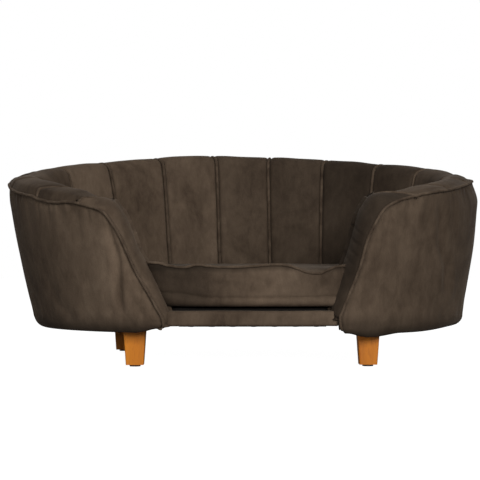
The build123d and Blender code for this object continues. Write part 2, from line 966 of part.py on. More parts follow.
# Piping round the top seam of the cushion, and round the rim and arm fronts
piping_inset = cushion_seam_inset - cushion_piping_radius - cushion_piping_gap
piping_points = points_along(cushion_wire(cushion_seam, piping_inset))
parts["cushion_piping"] = tube(piping_points, cushion_piping_radius, True)
parts["rim_piping"] = tube(rim_piping_points(), piping_radius)

# The origin goes to the middle of the outline, on the floor
boxes = [shape.bounding_box() for shape in parts.values()]
middle_y = (min(box.min.Y for box in boxes) + max(box.max.Y for box in boxes)) / 2
for name in parts:
    parts[name] = Pos(0, -middle_y, 0) * parts[name]
print("plan centre moved by", round(-middle_y, 2))
print("zip arc centre y", round(zip_centre_y - middle_y, 2))
print("slider travel degrees", round(2 * zip_rest_angle, 2))

if __name__ == "__main__":
    os.makedirs("parts", exist_ok=True)
    for name, shape in parts.items():
        export_step(shape, "parts/" + name + ".step")
        print(name, round(shape.volume), shape.is_valid)
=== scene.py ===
import bisect
import json
import math
import bmesh
import bpy
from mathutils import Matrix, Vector, kdtree, noise


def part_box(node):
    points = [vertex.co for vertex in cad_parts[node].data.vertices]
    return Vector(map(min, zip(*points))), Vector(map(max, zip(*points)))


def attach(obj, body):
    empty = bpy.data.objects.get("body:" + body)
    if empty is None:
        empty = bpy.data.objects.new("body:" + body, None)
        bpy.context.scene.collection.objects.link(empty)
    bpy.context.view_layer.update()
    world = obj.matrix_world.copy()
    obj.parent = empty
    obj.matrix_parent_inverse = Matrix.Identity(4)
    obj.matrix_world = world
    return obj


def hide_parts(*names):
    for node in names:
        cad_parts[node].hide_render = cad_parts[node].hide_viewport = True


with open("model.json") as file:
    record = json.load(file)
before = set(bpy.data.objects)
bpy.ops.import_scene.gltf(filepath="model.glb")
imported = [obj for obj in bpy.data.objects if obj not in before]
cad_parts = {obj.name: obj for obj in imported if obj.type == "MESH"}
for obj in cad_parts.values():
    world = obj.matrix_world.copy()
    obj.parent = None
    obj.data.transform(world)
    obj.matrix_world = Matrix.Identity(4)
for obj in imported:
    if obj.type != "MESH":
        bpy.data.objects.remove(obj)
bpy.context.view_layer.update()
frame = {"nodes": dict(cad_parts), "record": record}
nodes = frame["nodes"]
tubBody = "tub"
cushionBody = "cushion"

# Wall of the tub: the middle line of the rim is a superellipse, and lengths run from the middle of the back
wall = {
    # offsets are counted from the middle line of the rim, outwards
    "halfWidth": 0.379, "halfDepth": 0.312, "power": 2.1, "moveY": -0.02244, "pitch": 0.1138,
    "sideChannels": 7, "sideTop": 0.316, "slope": 0.152, "rollRadius": 0.027, "innerLow": -0.064,
    "innerEnd": -0.050, "innerBend": 0.165, "outerLow": -0.003, "outerTop": 0.029, "cornerTop": 0.0750,
    "edgeFall": 0.016, "outerReach": 1.05, "bow": 0.0025, "padFoot": 0.0803, "padBackLow": -0.038,
    "padBackTop": -0.012, "curveSteps": 3000, "frontHalf": (0.60, 1.05),
    "drop": (
        (-0.70, 0.0190), (-0.64, 0.0180), (-0.58, 0.0135), (-0.50, 0.0060), (-0.40, 0.0080), (0.0, 0.0110),
        (0.40, 0.0100), (0.50, 0.0080), (0.58, 0.0100), (0.64, 0.0075)),
}
# How the stuffed tub departs from its even frame: it leans to the left, the rim is tucked in at both ends,
# and it stands higher or lower along its length, which is counted from the middle, negative on the left
slump = {
    "low": 0.065, "high": 0.290, "leanBack": 0.0070, "leanFront": 0.0125, "leanMost": 1.3,
    "frontKnee": 0.45, "leanOuterLeft": 0.0160, "leanOuterRight": 0.0040, "frontLimits": (-0.25, 0.15),
    "sideLimits": (0.05, 0.28),
    "tuckRight": (0.40, 0.52, 0.66, 0.80, 0.0140), "tuckLeft": (0.28, 0.45, 0.58, 0.72, 0.0060),
    "tuckReach": 0.045, "squash": 0.45, "squashLimits": (-0.005, 0.020), "skinLimits": (-0.02, 0.02),
    "liftRight": 0.0045, "liftStart": (0.2, 0.45), "liftStop": (0.80, 0.66), "liftLimits": (0.13, 0.06),
    "sagRight": (0.83, 0.89, 0.0050), "sagLimits": (0.115, 0.072), "riseLimits": (0.20, 0.30),
    "rise": (
        (-0.92, -0.0060), (-0.87, -0.0035), (-0.81, 0.0055), (-0.74, 0.0100), (-0.64, 0.0100), (-0.50, 0.0),
        (-0.42, 0.0050), (-0.28, 0.0062), (-0.20, 0.0078), (-0.13, 0.0112), (-0.05, 0.0112), (0.0, 0.0085),
        (0.06, 0.0085), (0.12, 0.0062), (0.28, 0.0035), (0.42, 0.0040), (0.50, 0.0020), (0.60, 0.0095),
        (0.70, 0.0110), (0.79, 0.0108), (0.86, 0.0070), (0.92, 0.0040)),
}


def signedPower(value, power):
    return math.copysign(abs(value) ** power, value)


def planAtTurn(turn):
    power = 2 / wall["power"]
    return Vector((
        wall["halfWidth"] * signedPower(math.sin(turn), power),
        wall["halfDepth"] * signedPower(math.cos(turn), power), 0))


turnTable = [math.pi * step / wall["curveSteps"] for step in range(wall["curveSteps"] + 1)]
lengthTable = [0.0]
for before, after in zip(turnTable, turnTable[1:]):
    lengthTable.append(lengthTable[-1] + (planAtTurn(after) - planAtTurn(before)).length)


def planAt(length):
    place = min(max(bisect.bisect_left(lengthTable, length), 1), wall["curveSteps"])
    low = lengthTable[place - 1]
    share = (length - low) / (lengthTable[place] - low)
    return planAtTurn(turnTable[place - 1] + share * (turnTable[place] - turnTable[place - 1]))


def planNormal(point):
    power = wall["power"] - 1
    x = signedPower(point.x / wall["halfWidth"], power) / wall["halfWidth"]
    y = signedPower(point.y / wall["halfDepth"], power) / wall["halfDepth"]
    return Vector((x, y, 0)).normalized()


def clamp(value, low=0.0, high=1.0):
    return min(max(value, low), high)


def smooth(low, high, value):
    # a soft ramp from 0 at low to 1 at high, which falls where low is the larger
    share = clamp((value - low) / (high - low))
    return share * share * (3 - 2 * share)


def mix(low, high, share):
    return low + (high - low) * share


def valueAt(table, place):
    # the height of a soft curve through a table of (place, value)
    if place <= table[0][0]:
        return table[0][1]
    for (lowPlace, low), (highPlace, high) in zip(table, table[1:]):
        if place <= highPlace:
            return mix(low, high, smooth(lowPlace, highPlace, place))
    return table[-1][1]


def rimTop(length):
    return wall["sideTop"] + wall["slope"] * planAt(length).y


def rightPoint(length, out, z):
    base = planAt(length)
    normal = planNormal(base)
    return Vector((base.x + normal.x * out, base.y + normal.y * out + wall["moveY"], z))


def leaned(side, point, out):
    share = clamp((point.z - slump["low"]) / (slump["high"] - slump["low"]), 0.0, slump["leanMost"])
    atFront = 1 - smooth(*slump["frontLimits"], point.y)
    atSide = 1 - smooth(*slump["sideLimits"], point.y)
    inner = mix(slump["leanBack"] * share, slump["leanFront"] * min(share / slump["frontKnee"], 1), atFront)
    outer = mix(slump["leanBack"], slump["leanOuterLeft" if side < 0 else "leanOuterRight"], atSide) * share
    return Vector((point.x - mix(inner, outer, smooth(*slump["skinLimits"], out)), point.y, point.z))


def wallPoint(side, length, out, z):
    # a point of the tub: side is 1 on the right, out is counted from the middle line of the rim
    if length < 0:
        side, length = -side, -length
    top = rimTop(length)
    start, full, hold, stop, amount = slump["tuckRight" if side > 0 else "tuckLeft"]
    along = smooth(start, full, length) * (1 - smooth(hold, stop, length))
    squash = mix(slump["squash"], 1, smooth(*slump["squashLimits"], out))
    out -= amount * along * squash * smooth(top - slump["tuckReach"], top - 0.004, z)
    rise = valueAt(slump["rise"], side * length) * smooth(*slump["riseLimits"], z)
    if side > 0:
        lift = slump["liftRight"] * smooth(*slump["liftStart"], length) * smooth(*slump["liftStop"], length)
        rise += lift * smooth(*slump["liftLimits"], z)
        sagStart, sagFull, sag = slump["sagRight"]
        rise -= sag * smooth(sagStart, sagFull, length) * smooth(*slump["sagLimits"], z)
    point = rightPoint(length, out, z)
    return leaned(side, Vector((side * point.x, point.y, z + rise)), out)


def edgeDrop(side, length):
    return valueAt(wall["drop"], side * length)


def lengthAtX(absX, out):
    # the length at which the wall's line at that offset is absX from the middle, on the front half
    low, high = wall["frontHalf"]
    for step in range(40):
        middle = (low + high) / 2
        if rightPoint(middle, out, 0).x > absX:
            low = middle
        else:
            high = middle
    return (low + high) / 2


def outerLine(z, top):
    # how far out the shell stands at a height, with a slight bow
    share = (z - wall["cornerTop"]) / (top - wall["edgeFall"] - wall["cornerTop"])
    bow = wall["bow"] * math.sin(math.pi * clamp(share))
    return mix(wall["outerLow"], wall["outerTop"], clamp(share, 0.0, wall["outerReach"])) + bow


# Camera of the photograph. Seams are placed by pixels of its 480 by 480 frame, on the wall that carries them
cameraFit = {
    "x": -0.060, "y": -2.787, "height": 0.202, "lens": 117.15, "turn": 0.917, "shiftY": 0.00625, "sensor": 36,
    "frame": 480,
}
pixelSearch = {"step": 0.0001, "turns": 60, "flat": 0.000001, "near": 0.001, "stride": 0.01}


def pixelOf(point):
    turn = math.radians(cameraFit["turn"])
    focal = cameraFit["lens"] / cameraFit["sensor"] * cameraFit["frame"]
    sight = point - Vector((cameraFit["x"], cameraFit["y"], cameraFit["height"]))
    depth = sight.dot(Vector((math.sin(turn), math.cos(turn), 0)))
    middle = cameraFit["frame"] / 2
    return Vector((
        middle + focal * sight.dot(Vector((math.cos(turn), -math.sin(turn), 0))) / depth,
        middle + cameraFit["shiftY"] * cameraFit["frame"] - focal * sight.z / depth))


def behindPixel(pixel, surface, start):
    # the two values of a surface at which the camera sees it behind a pixel, and by how much it misses
    step, stride = pixelSearch["step"], pixelSearch["stride"]
    first, second = start
    for turn in range(pixelSearch["turns"]):
        here = pixelOf(surface(first, second))
        byFirst = (pixelOf(surface(first + step, second)) - here) / step
        bySecond = (pixelOf(surface(first, second + step)) - here) / step
        miss = Vector(pixel) - here
        area = byFirst.x * bySecond.y - bySecond.x * byFirst.y
        if abs(area) < pixelSearch["flat"] or miss.length < pixelSearch["near"]:
            break
        first += clamp((miss.x * bySecond.y - bySecond.x * miss.y) / area, -stride, stride)
        second += clamp((byFirst.x * miss.y - byFirst.y * miss.x) / area, -stride, stride)
    return first, second, (Vector(pixel) - pixelOf(surface(first, second))).length


# Smooth curve through points, with the same number of steps between each two
def throughPoints(points, steps):
    result = []
    count = len(points)
    for place in range(count - 1):
        before = points[max(place - 1, 0)]
        start = points[place]
        end = points[place + 1]
        after = points[min(place + 2, count - 1)]
        for step in range(steps):
            share = step / steps
            result.append(tuple(
                0.5 * ((2 * b) + (-a + c) * share + (2 * a - 5 * b + 4 * c - d) * share ** 2
                       + (-a + 3 * b - 3 * c + d) * share ** 3)
                for a, b, c, d in zip(before, start, end, after)))
    result.append(tuple(points[-1]))
    return result


def resampled(points, count):
    vectors = [Vector(point) for point in points]
    lengths = [0.0]
    for place in range(len(vectors) - 1):
        lengths.append(lengths[-1] + (vectors[place + 1] - vectors[place]).length)
    result = []
    for step in range(count):
        target = lengths[-1] * step / (count - 1)
        place = min(max(bisect.bisect_left(lengths, target), 1), len(vectors) - 1)
        span = lengths[place] - lengths[place - 1]
        share = (target - lengths[place - 1]) / span if span else 0
        result.append(vectors[place - 1].lerp(vectors[place], share))
    return result


# Meshes
def placed(name, data):
    item = bpy.data.objects.new(name, data)
    bpy.context.scene.collection.objects.link(item)
    return item


def treeOf(points):
    # finds the nearest of some points
    tree = kdtree.KDTree(len(points))
    for place, point in enumerate(points):
        tree.insert(point, place)
    tree.balance()
    return tree


def addObject(name, verts, faces, material, isClosed=True, isSmooth=True):
    mesh = bpy.data.meshes.new(name)
    mesh.from_pydata([tuple(vert) for vert in verts], [], faces)
    work = bmesh.new()
    work.from_mesh(mesh)
    bmesh.ops.remove_doubles(work, verts=work.verts, dist=0.00002)
    if isClosed:
        bmesh.ops.recalc_face_normals(work, faces=work.faces)
    work.to_mesh(mesh)
    work.free()
    for polygon in mesh.polygons:
        polygon.use_smooth = isSmooth
    mesh.materials.append(material)
    return placed(name, mesh)


def gridFaces(rows, columns, isRoundColumns=False, start=0):
    faces = []
    last = columns if isRoundColumns else columns - 1
    for row in range(rows - 1):
        for column in range(last):
            following = (column + 1) % columns
            faces.append((
                start + row * columns + column, start + row * columns + following,
                start + (row + 1) * columns + following, start + (row + 1) * columns + column))
    return faces


def skinFaces(rows, columns):
    # rings of points, joined and closed by a face at each end
    ends = [tuple(range(columns)), tuple((rows - 1) * columns + column for column in range(columns))]
    return gridFaces(rows, columns, True) + ends


def areaOf(ring):
    # the area inside a flat ring, negative where it runs clockwise
    return 0.5 * sum(ring[place].cross(ring[(place + 1) % len(ring)]).z for place in range(len(ring)))


def tubeAlong(points, radius, sides=10, isLoop=False):
    verts = []
    count = len(points)
    normal = None
    for place in range(count):
        before = points[place - 1] if (place or isLoop) else points[0]
        after = points[(place + 1) % count] if (place < count - 1 or isLoop) else points[-1]
        tangent = (after - before).normalized()
        if normal is None:
            normal = tangent.orthogonal().normalized()
        normal = (normal - tangent * normal.dot(tangent)).normalized()
        across = tangent.cross(normal)
        size = radius(place / (count - 1)) if callable(radius) else radius
        for side in range(sides):
            turn = 2 * math.pi * side / sides
            verts.append(points[place] + normal * math.cos(turn) * size + across * math.sin(turn) * size)
    faces = gridFaces(count, sides, True)
    if isLoop:
        for side in range(sides):
            following = (side + 1) % sides
            faces.append((
                (count - 1) * sides + side, (count - 1) * sides + following, following, side))
    else:
        faces += [tuple(range(sides)), tuple((count - 1) * sides + side for side in range(sides))]
    return verts, faces


# Materials
def setNode(tree, node, **values):
    # in_ sets an input, from_ joins an input to (node, output), and other names are the node's own settings
    for name, value in values.items():
        start, label = name.partition("_")[::2]
        key = int(label) if label.isdigit() else label.replace("_", " ")
        if start == "in":
            node.inputs[key].default_value = value
        elif start == "from":
            tree.links.new(value[0].outputs[value[1]], node.inputs[key])
        else:
            setattr(node, name, value)
    return node


def addNode(tree, kind, x, y, **values):
    node = tree.nodes.new(kind)
    node.location = (x, y)
    return setNode(tree, node, **values)


def addRamp(tree, x, y, source, stops):
    node = addNode(tree, "ShaderNodeValToRGB", x, y, from_Fac=source)
    ramp = node.color_ramp
    while len(ramp.elements) > 1:
        ramp.elements.remove(ramp.elements[-1])
    ramp.elements[0].position = stops[0][0]
    ramp.elements[0].color = (*stops[0][1], 1)
    for position, colour in stops[1:]:
        ramp.elements.new(position).color = (*colour, 1)
    return node, "Color"


def newMaterial(name, **values):
    # a material, its tree and its shader, with values on the shader's own inputs
    material = bpy.data.materials.new(name)
    material.use_nodes = True
    tree = material.node_tree
    return material, tree, setNode(tree, tree.nodes["Principled BSDF"], **values)


def velvetMaterial(name, look):
    material, tree, shader = newMaterial(
        name, in_Sheen_Weight=look["sheen"], in_Sheen_Roughness=0.45, in_Sheen_Tint=(*look["sheenColour"], 1),
        in_Specular_IOR_Level=0.07)
    place = (addNode(tree, "ShaderNodeTexCoord", -1500, 0), "Object")
    strokes = addNode(tree, "ShaderNodeMapping", -1300, -250, in_Scale=look["stretch"], from_Vector=place)
    blotch = addNode(tree, "ShaderNodeTexNoise", -1100, 200, in_Scale=look["blotch"], in_Detail=4.0,
                     in_Roughness=0.55, in_Distortion=0.9, from_Vector=place)
    crush = (addNode(tree, "ShaderNodeTexNoise", -1100, -150, in_Scale=look["crush"], in_Detail=6.0,
                     in_Roughness=0.68, in_Distortion=0.35, from_Vector=(strokes, "Vector")), "Fac")
    pile = (addNode(tree, "ShaderNodeTexNoise", -1100, -500, in_Scale=look["pile"], in_Detail=2.0,
                    in_Roughness=0.7, from_Vector=place), "Fac")
    large = addNode(tree, "ShaderNodeMapRange", -850, 200, in_From_Min=0.32, in_From_Max=0.68, in_To_Min=0.0,
                    in_To_Max=0.62, from_Value=(blotch, "Fac"))
    small = addNode(tree, "ShaderNodeMapRange", -850, -100, in_From_Min=0.30, in_From_Max=0.70, in_To_Min=0.0,
                    in_To_Max=0.38, from_Value=crush)
    both = addNode(tree, "ShaderNodeMath", -640, 80, operation="ADD", from_0=(large, "Result"),
                   from_1=(small, "Result"))
    fleck = addNode(tree, "ShaderNodeMix", -160, 120, data_type="RGBA", blend_type="MULTIPLY",
                    in_Factor=look["fleck"], from_A=addRamp(tree, -450, 80, (both, "Value"), look["colours"]),
                    from_B=addRamp(tree, -450, -260, pile, look["flecks"]))
    # painted light and shade: each piece's attribute lightens or darkens the velvet's colour
    nap = addNode(tree, "ShaderNodeAttribute", -400, 380, attribute_name="nap")
    lightShadeShare = addNode(tree, "ShaderNodeMath", -200, 380, operation="ADD", in_1=1.0, from_0=(nap, "Fac"))
    lit = addNode(tree, "ShaderNodeVectorMath", 20, 240, operation="SCALE", from_0=(fleck, "Result"),
                  from_Scale=(lightShadeShare, "Value"))
    rough = addNode(tree, "ShaderNodeMapRange", -450, -560, in_To_Min=0.72, in_To_Max=0.92, from_Value=crush)
    crushBump = addNode(tree, "ShaderNodeBump", -160, -300, in_Strength=look["crushBump"], in_Distance=0.004,
                        from_Height=crush)
    pileBump = addNode(tree, "ShaderNodeBump", 20, -380, in_Strength=look["pileBump"], in_Distance=0.0006,
                       from_Height=pile, from_Normal=(crushBump, "Normal"))
    setNode(tree, shader, from_Base_Color=(lit, "Vector"), from_Roughness=(rough, "Result"),
            from_Normal=(pileBump, "Normal"))
    return material


velvetLook = {
    "sheen": 0.05, "sheenColour": (0.75, 0.62, 0.50), "blotch": 7.0, "crush": 66.0, "pile": 900.0,
    "stretch": (1.0, 1.0, 0.45), "fleck": 0.40, "flecks": ((0.3, (0.55, 0.55, 0.55)), (0.7, (1.0, 1.0, 1.0))),
    "crushBump": 0.20, "pileBump": 0.30,
    "colours": (
        (0.08, (0.034, 0.0225, 0.0150)), (0.40, (0.062, 0.0430, 0.0290)), (0.75, (0.094, 0.0665, 0.0455)),
        (1.0, (0.120, 0.087, 0.0600))),
}
velvetLining = velvetMaterial("velvetLining", velvetLook)
velvetOuter = velvetMaterial("velvetOuter", {**velvetLook, "blotch": 6.5, "crush": 58.0, "crushBump": 0.26})
velvetSeat = velvetMaterial("velvetSeat", {**velvetLook, "blotch": 8.0, "crush": 60.0})
velvetPiping = velvetMaterial("velvetPiping", {
    **velvetLook, "blotch": 30.0, "crush": 120.0, "crushBump": 0.3})


def woodMaterial(name, look):
    material, tree, shader = newMaterial(name, in_Roughness=look["roughness"], in_Specular_IOR_Level=0.35)
    place = addNode(tree, "ShaderNodeTexCoord", -1400, 0)
    stretch = (addNode(tree, "ShaderNodeMapping", -1200, 0, in_Scale=look["stretch"],
                       from_Vector=(place, "Object")), "Vector")
    grain = (addNode(tree, "ShaderNodeTexNoise", -980, 200, in_Scale=look["grain"], in_Detail=8.0,
                     in_Roughness=0.6, in_Distortion=0.6, from_Vector=stretch), "Fac")
    pores = (addNode(tree, "ShaderNodeTexNoise", -980, -150, in_Scale=look["pores"], in_Detail=3.0,
                     in_Roughness=0.6, from_Vector=stretch), "Fac")
    tint = addRamp(tree, -720, 200, grain, look["colours"])
    dark = addRamp(tree, -720, -150, pores, ((0.30, (0.72, 0.66, 0.60)), (0.48, (1.0, 1.0, 1.0))))
    both = addNode(tree, "ShaderNodeMix", -400, 100, data_type="RGBA", blend_type="MULTIPLY", in_Factor=0.55,
                   from_A=tint, from_B=dark)
    bump = addNode(tree, "ShaderNodeBump", -300, -300, in_Strength=0.25, in_Distance=0.0005,
                   from_Height=pores)
    setNode(tree, shader, from_Base_Color=(both, "Result"), from_Normal=(bump, "Normal"))
    return material


legWood = woodMaterial("legWood", {
    "roughness": 0.42, "stretch": (1.0, 1.0, 0.14), "grain": 26.0, "pores": 420.0,
    "colours": ((0.30, (0.37, 0.105, 0.004)), (0.5, (0.48, 0.148, 0.006)), (0.72, (0.58, 0.195, 0.010)))})
plywood = woodMaterial("plywood", {
    "roughness": 0.6, "stretch": (1.0, 0.2, 1.0), "grain": 20.0, "pores": 300.0,
    "colours": ((0.30, (0.50, 0.36, 0.22)), (0.5, (0.62, 0.47, 0.31)), (0.72, (0.70, 0.55, 0.38)))})


def plainMaterial(name, colour, roughness, metal=0.0, speckle=300.0, depth=0.0003, gloss=0.5):
    material, tree, shader = newMaterial(name, in_Metallic=metal, in_Specular_IOR_Level=gloss)
    place = addNode(tree, "ShaderNodeTexCoord", -900, 0)
    grain = (addNode(tree, "ShaderNodeTexNoise", -700, 0, in_Scale=speckle, in_Detail=4.0,
                     from_Vector=(place, "Object")), "Fac")
    tint = addRamp(tree, -450, 100, grain, (
        (0.3, tuple(0.8 * part for part in colour)), (0.7, tuple(min(1.15 * part, 1) for part in colour))))
    rough = addNode(tree, "ShaderNodeMapRange", -450, -150, in_To_Min=roughness - 0.08,
                    in_To_Max=min(roughness + 0.08, 1), from_Value=grain)
    bump = addNode(tree, "ShaderNodeBump", -250, -300, in_Strength=0.3, in_Distance=depth, from_Height=grain)
    setNode(tree, shader, from_Base_Color=tint, from_Roughness=(rough, "Result"),
            from_Normal=(bump, "Normal"))
    return material


zincSteel = plainMaterial("zincSteel", (0.62, 0.62, 0.60), 0.35, 1.0)
# dark deck cloth, made near black as painted shade for the gap under the cushion's front
deckCloth = plainMaterial("deckCloth", (0.009, 0.008, 0.007), 0.9, 0.0, 900.0, 0.0004, 0.05)
dustCloth = plainMaterial("dustCloth", (0.016, 0.016, 0.016), 0.92, 0.0, 1200.0, 0.0003, 0.1)
zipCloth = plainMaterial("zipCloth", (0.045, 0.034, 0.027), 0.85, 0.0, 1500.0, 0.0003)
zipNylon = plainMaterial("zipNylon", (0.050, 0.038, 0.030), 0.45)
gluedFelt = plainMaterial("gluedFelt", (0.10, 0.08, 0.07), 0.95, 0.0, 800.0, 0.0006)
print("materials made")


# Painted light and shade: the velvet's colour is lightened or darkened from panel to panel, and over a panel,
# as the light falls on it
paintedLightShares = {
    "lining": (
        (-0.70, -0.22), (-0.50, -0.18), (-0.40, 0.32), (-0.20, 0.35), (-0.11, 0.28), (-0.05, 0.05),
        (0.05, -0.05), (0.13, -0.26), (0.23, -0.56), (0.36, -0.40), (0.60, -0.12)),
    "coverLeft": ((-0.40, -0.12), (-0.34, 0.0), (-0.26, 0.12), (-0.20, 0.50), (-0.17, 0.62)),
    "coverRight": ((0.17, 0.22), (0.26, 0.12), (0.34, -0.04), (0.40, -0.10)),
    "coverBack": ((0.0, 0.0),),
    "seat": ((-0.17, -0.50), (-0.10, -0.45), (-0.05, 0.0), (0.0, 0.28), (0.10, 0.04)),
    "stripLeft": ((0.0, 0.18),), "stripRight": ((0.0, -0.58),), "rail": ((0.0, 0.20),),
}


def paintLightShade(piece, key, placeOf, shadeOf=None):
    # writes the painted light and shade to the piece's own attribute
    layer = piece.data.attributes.new("nap", "FLOAT", "POINT")
    for vert in piece.data.vertices:
        shade = shadeOf(vert.co) if shadeOf else 1.0
        layer.data[vert.index].value = (1 + valueAt(paintedLightShares[key], placeOf(vert.co))) * shade - 1


def finishPiece(piece, body, slotName, *replaced):
    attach(piece, body)
    if replaced:
        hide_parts(*replaced)


def softNoise(point, size, seed):
    return noise.noise(Vector((
        point[0] / size + seed * 7.31, point[1] / size - seed * 3.17, point[2] / size + seed)))


def creaseDepth(x, z, creases, soften=1.0):
    # how deep a spot lies in the creases: each has a path from its upper end, a depth and a width
    total = 0.0
    for path, depth, width in creases:
        nearest = math.inf
        lowest, highest = path[-1][1], path[0][1]
        for (startX, startZ), (endX, endZ) in zip(path, path[1:]):
            spanX, spanZ = endX - startX, endZ - startZ
            share = ((x - startX) * spanX + (z - startZ) * spanZ) / (spanX ** 2 + spanZ ** 2)
            share = clamp(share)
            nearest = min(nearest, math.hypot(x - startX - share * spanX, z - startZ - share * spanZ))
        fade = smooth(lowest - 0.012 * soften, lowest + 0.02 * soften, z)
        fade *= 1 - smooth(highest - 0.02 * soften, highest + 0.012 * soften, z)
        total += depth * fade * math.exp(-(nearest / width) ** 2)
        total -= 0.25 * depth * fade * math.exp(-((nearest - 1.9 * width) / width) ** 2)
    return total


# Drag folds of the arm strip on the right: pixels of each fold from its upper end, how deep it is in metres
# and how wide in pixels. Soften turns the lengths over which a crease ends into pixels
dragFolds = {
    "soften": 420,
    "folds": (
        (((360, 226), (368, 238)), 0.0020, 1.3), (((358, 238), (366, 250)), 0.0018, 1.3),
        (((356, 249), (364, 262)), 0.0018, 1.4), (((353, 258), (361, 272)), 0.0016, 1.4),
        (((351, 270), (357, 282)), 0.0012, 1.4)),
}
upwardFolds = [([(x, -y) for x, y in path], depth, width) for path, depth, width in dragFolds["folds"]]


def foldDepth(point):
    pixel = pixelOf(point)
    return creaseDepth(pixel.x, -pixel.y, upwardFolds, dragFolds["soften"])


# Arm fronts: pixels of the outer seam, which the piping follows, and of the inner seam, from the rim down
armFront = {
    "outerRight": (
        (440, 191), (420, 195), (400, 200), (385, 209), (378, 219), (367.5, 240), (359, 270), (347, 300),
        (340, 318)),
    "outerLeft": (
        (40, 200), (52, 202.5), (75, 203), (90, 207), (103, 212), (115, 228), (121.5, 240), (135, 270),
        (152, 300), (162, 318)),
    "innerRight": (
        (366, 197), (360, 210), (356, 225), (350, 245), (346, 262), (341, 285), (338, 302), (337, 314)),
    "innerLeft": ((116, 202), (125, 220), (135, 245), (143, 262), (150, 280), (160, 305), (163, 314)),
    "kneeRight": 3, "kneeLeft": 4, "wedgeLength": 0.830, "stepCount": 12,
    "startOuter": 0.76, "startInner": 0.84, "startZ": 0.26, "tries": (0, 0.03, -0.03), "farTry": 0.86,
    "rollFoot": 0.2, "rollTop": 0.262,
}


def innerOut(z):
    return mix(wall["innerEnd"], -wall["rollRadius"], smooth(armFront["rollFoot"], armFront["rollTop"], z))


def frontCurve(key, side):
    # lengths, heights and offsets of a seam on the arm front, evenly along it
    isOuter = key.startswith("outer")

    def outAt(length, z):
        return outerLine(z, rimTop(length)) if isOuter else innerOut(z)

    def surface(length, z):
        return wallPoint(side, length, outAt(length, z), z)

    points = []
    length, z = armFront["startOuter" if isOuter else "startInner"], armFront["startZ"]
    for pixel in armFront[key]:
        starts = [(length + more, z) for more in (*armFront["tries"], armFront["farTry"] - length)]
        found = [behindPixel(pixel, surface, start) for start in starts]
        length, z, miss = min(found, key=lambda result: result[2])
        points.append((length, z, outAt(length, z)))
    return throughPoints(points, armFront["stepCount"])


outerSeam = {1: frontCurve("outerRight", 1), -1: frontCurve("outerLeft", -1)}
innerSeam = {1: frontCurve("innerRight", 1), -1: frontCurve("innerLeft", -1)}


# The whole outer edge of one side, from the middle of the back round the knee and down the arm front
edgeSettings = {"rimStep": 0.018, "rimStop": 0.022, "footPoints": (
    (0.1405, 0.0700, -0.0060), (0.1445, 0.0680, -0.0150))}


def edgeOf(side):
    points = []
    seam = outerSeam[side]
    reach = seam[0][0] - edgeSettings["rimStop"]
    count = round(reach / edgeSettings["rimStep"])
    for step in range(count + 1):
        length = reach * step / count
        z = rimTop(length) - edgeDrop(side, length)
        points.append((length, z, outerLine(z, rimTop(length))))
    points += seam[::4]
    for absX, z, out in edgeSettings["footPoints"]:
        points.append((lengthAtX(absX, out), z, out))
    return throughPoints(points, 4)


edges = {1: edgeOf(1), -1: edgeOf(-1)}
edgeLengths = {side: [point[0] for point in edges[side]] for side in edges}

# Painted shade along the rim piping and along the hem: how far it reaches and how dark it makes the velvet
edgeShade = {"samples": 900, "reach": 0.0045, "seam": 0.48, "hem": 0.50, "hemLow": 0.062, "hemHigh": 0.094}
edgePoints = []
for side in edges:
    line = [wallPoint(side, length, out, z) for length, z, out in edges[side]]
    edgePoints += resampled(line, edgeShade["samples"])
edgeTree = treeOf(edgePoints)


def coverShade(spot):
    # painted shade: the velvet's colour is darkened in the tuck beside the piping, and where it turns under
    # the tub
    near = edgeTree.find(spot)[2] / edgeShade["reach"]
    hem = mix(edgeShade["hem"], 1, smooth(edgeShade["hemLow"], edgeShade["hemHigh"], spot.z))
    return (1 - edgeShade["seam"] * math.exp(-near ** 2)) * hem


def edgeAt(side, length):
    # height and offset of the outer edge at a length
    place = min(max(bisect.bisect_left(edgeLengths[side], length), 1), len(edges[side]) - 1)
    before, after = edges[side][place - 1], edges[side][place]
    share = clamp((length - before[0]) / max(after[0] - before[0], 1e-6))
    return mix(before[1], after[1], share), mix(before[2], after[2], share)


def innerEndLength(side, z):
    seam = innerSeam[side]
    if z >= seam[0][1]:
        return seam[0][0]
    for place in range(len(seam) - 1):
        if seam[place + 1][1] <= z <= seam[place][1]:
            share = (z - seam[place][1]) / (seam[place + 1][1] - seam[place][1])
            return mix(seam[place][0], seam[place + 1][0], share)
    return seam[-1][0]


channelPad = {
    "along": 30, "profileSteps": 5, "groove": 0.0078, "grooveRoll": 0.0050, "edge": 0.0072, "gap": 0.0024,
    "crown": 0.0014, "wrinkle": 0.0010, "wrinkleSize": 0.045, "overShares": (0.55, 0.20), "overIn": 0.0015,
    "backEnd": 7.3, "backDrop": 0.0205, "lightShadeSlope": 0.15, "endFrom": 6.5, "endTo": 7.7, "rollPower": 0.6,
    # over the roll, (offset, depth below the top), and the places along a profile where it turns down
    "roll": ((0.0, 0.0), (-0.0125, 0.0030), (-0.0215, 0.0110), (-0.0275, 0.0240)), "kneeZ": 0.125,
    "rollPlaces": (5, 30), "edgePlaces": (0, 4),
    # how far each seam is drawn aside below the roll and above the seat, by its length from the middle
    "swayHigh": (
        (-0.80, -0.045), (-0.63, -0.036), (-0.50, -0.010), (-0.40, 0.0), (-0.28, 0.0035), (-0.17, 0.0095),
        (-0.057, 0.0070), (0.057, -0.0017), (0.17, -0.0035), (0.28, -0.0035), (0.40, -0.0070), (0.50, 0.008),
        (0.63, 0.030), (0.80, 0.040)),
    "swayLow": (
        (-0.80, -0.020), (-0.63, -0.018), (-0.50, -0.005), (-0.40, 0.0), (-0.28, 0.0030), (-0.17, 0.0050),
        (-0.057, 0.0035), (0.057, -0.0017), (0.17, -0.0017), (0.28, -0.0035), (0.40, -0.0040), (0.50, 0.005),
        (0.63, 0.018), (0.80, 0.020)),
}


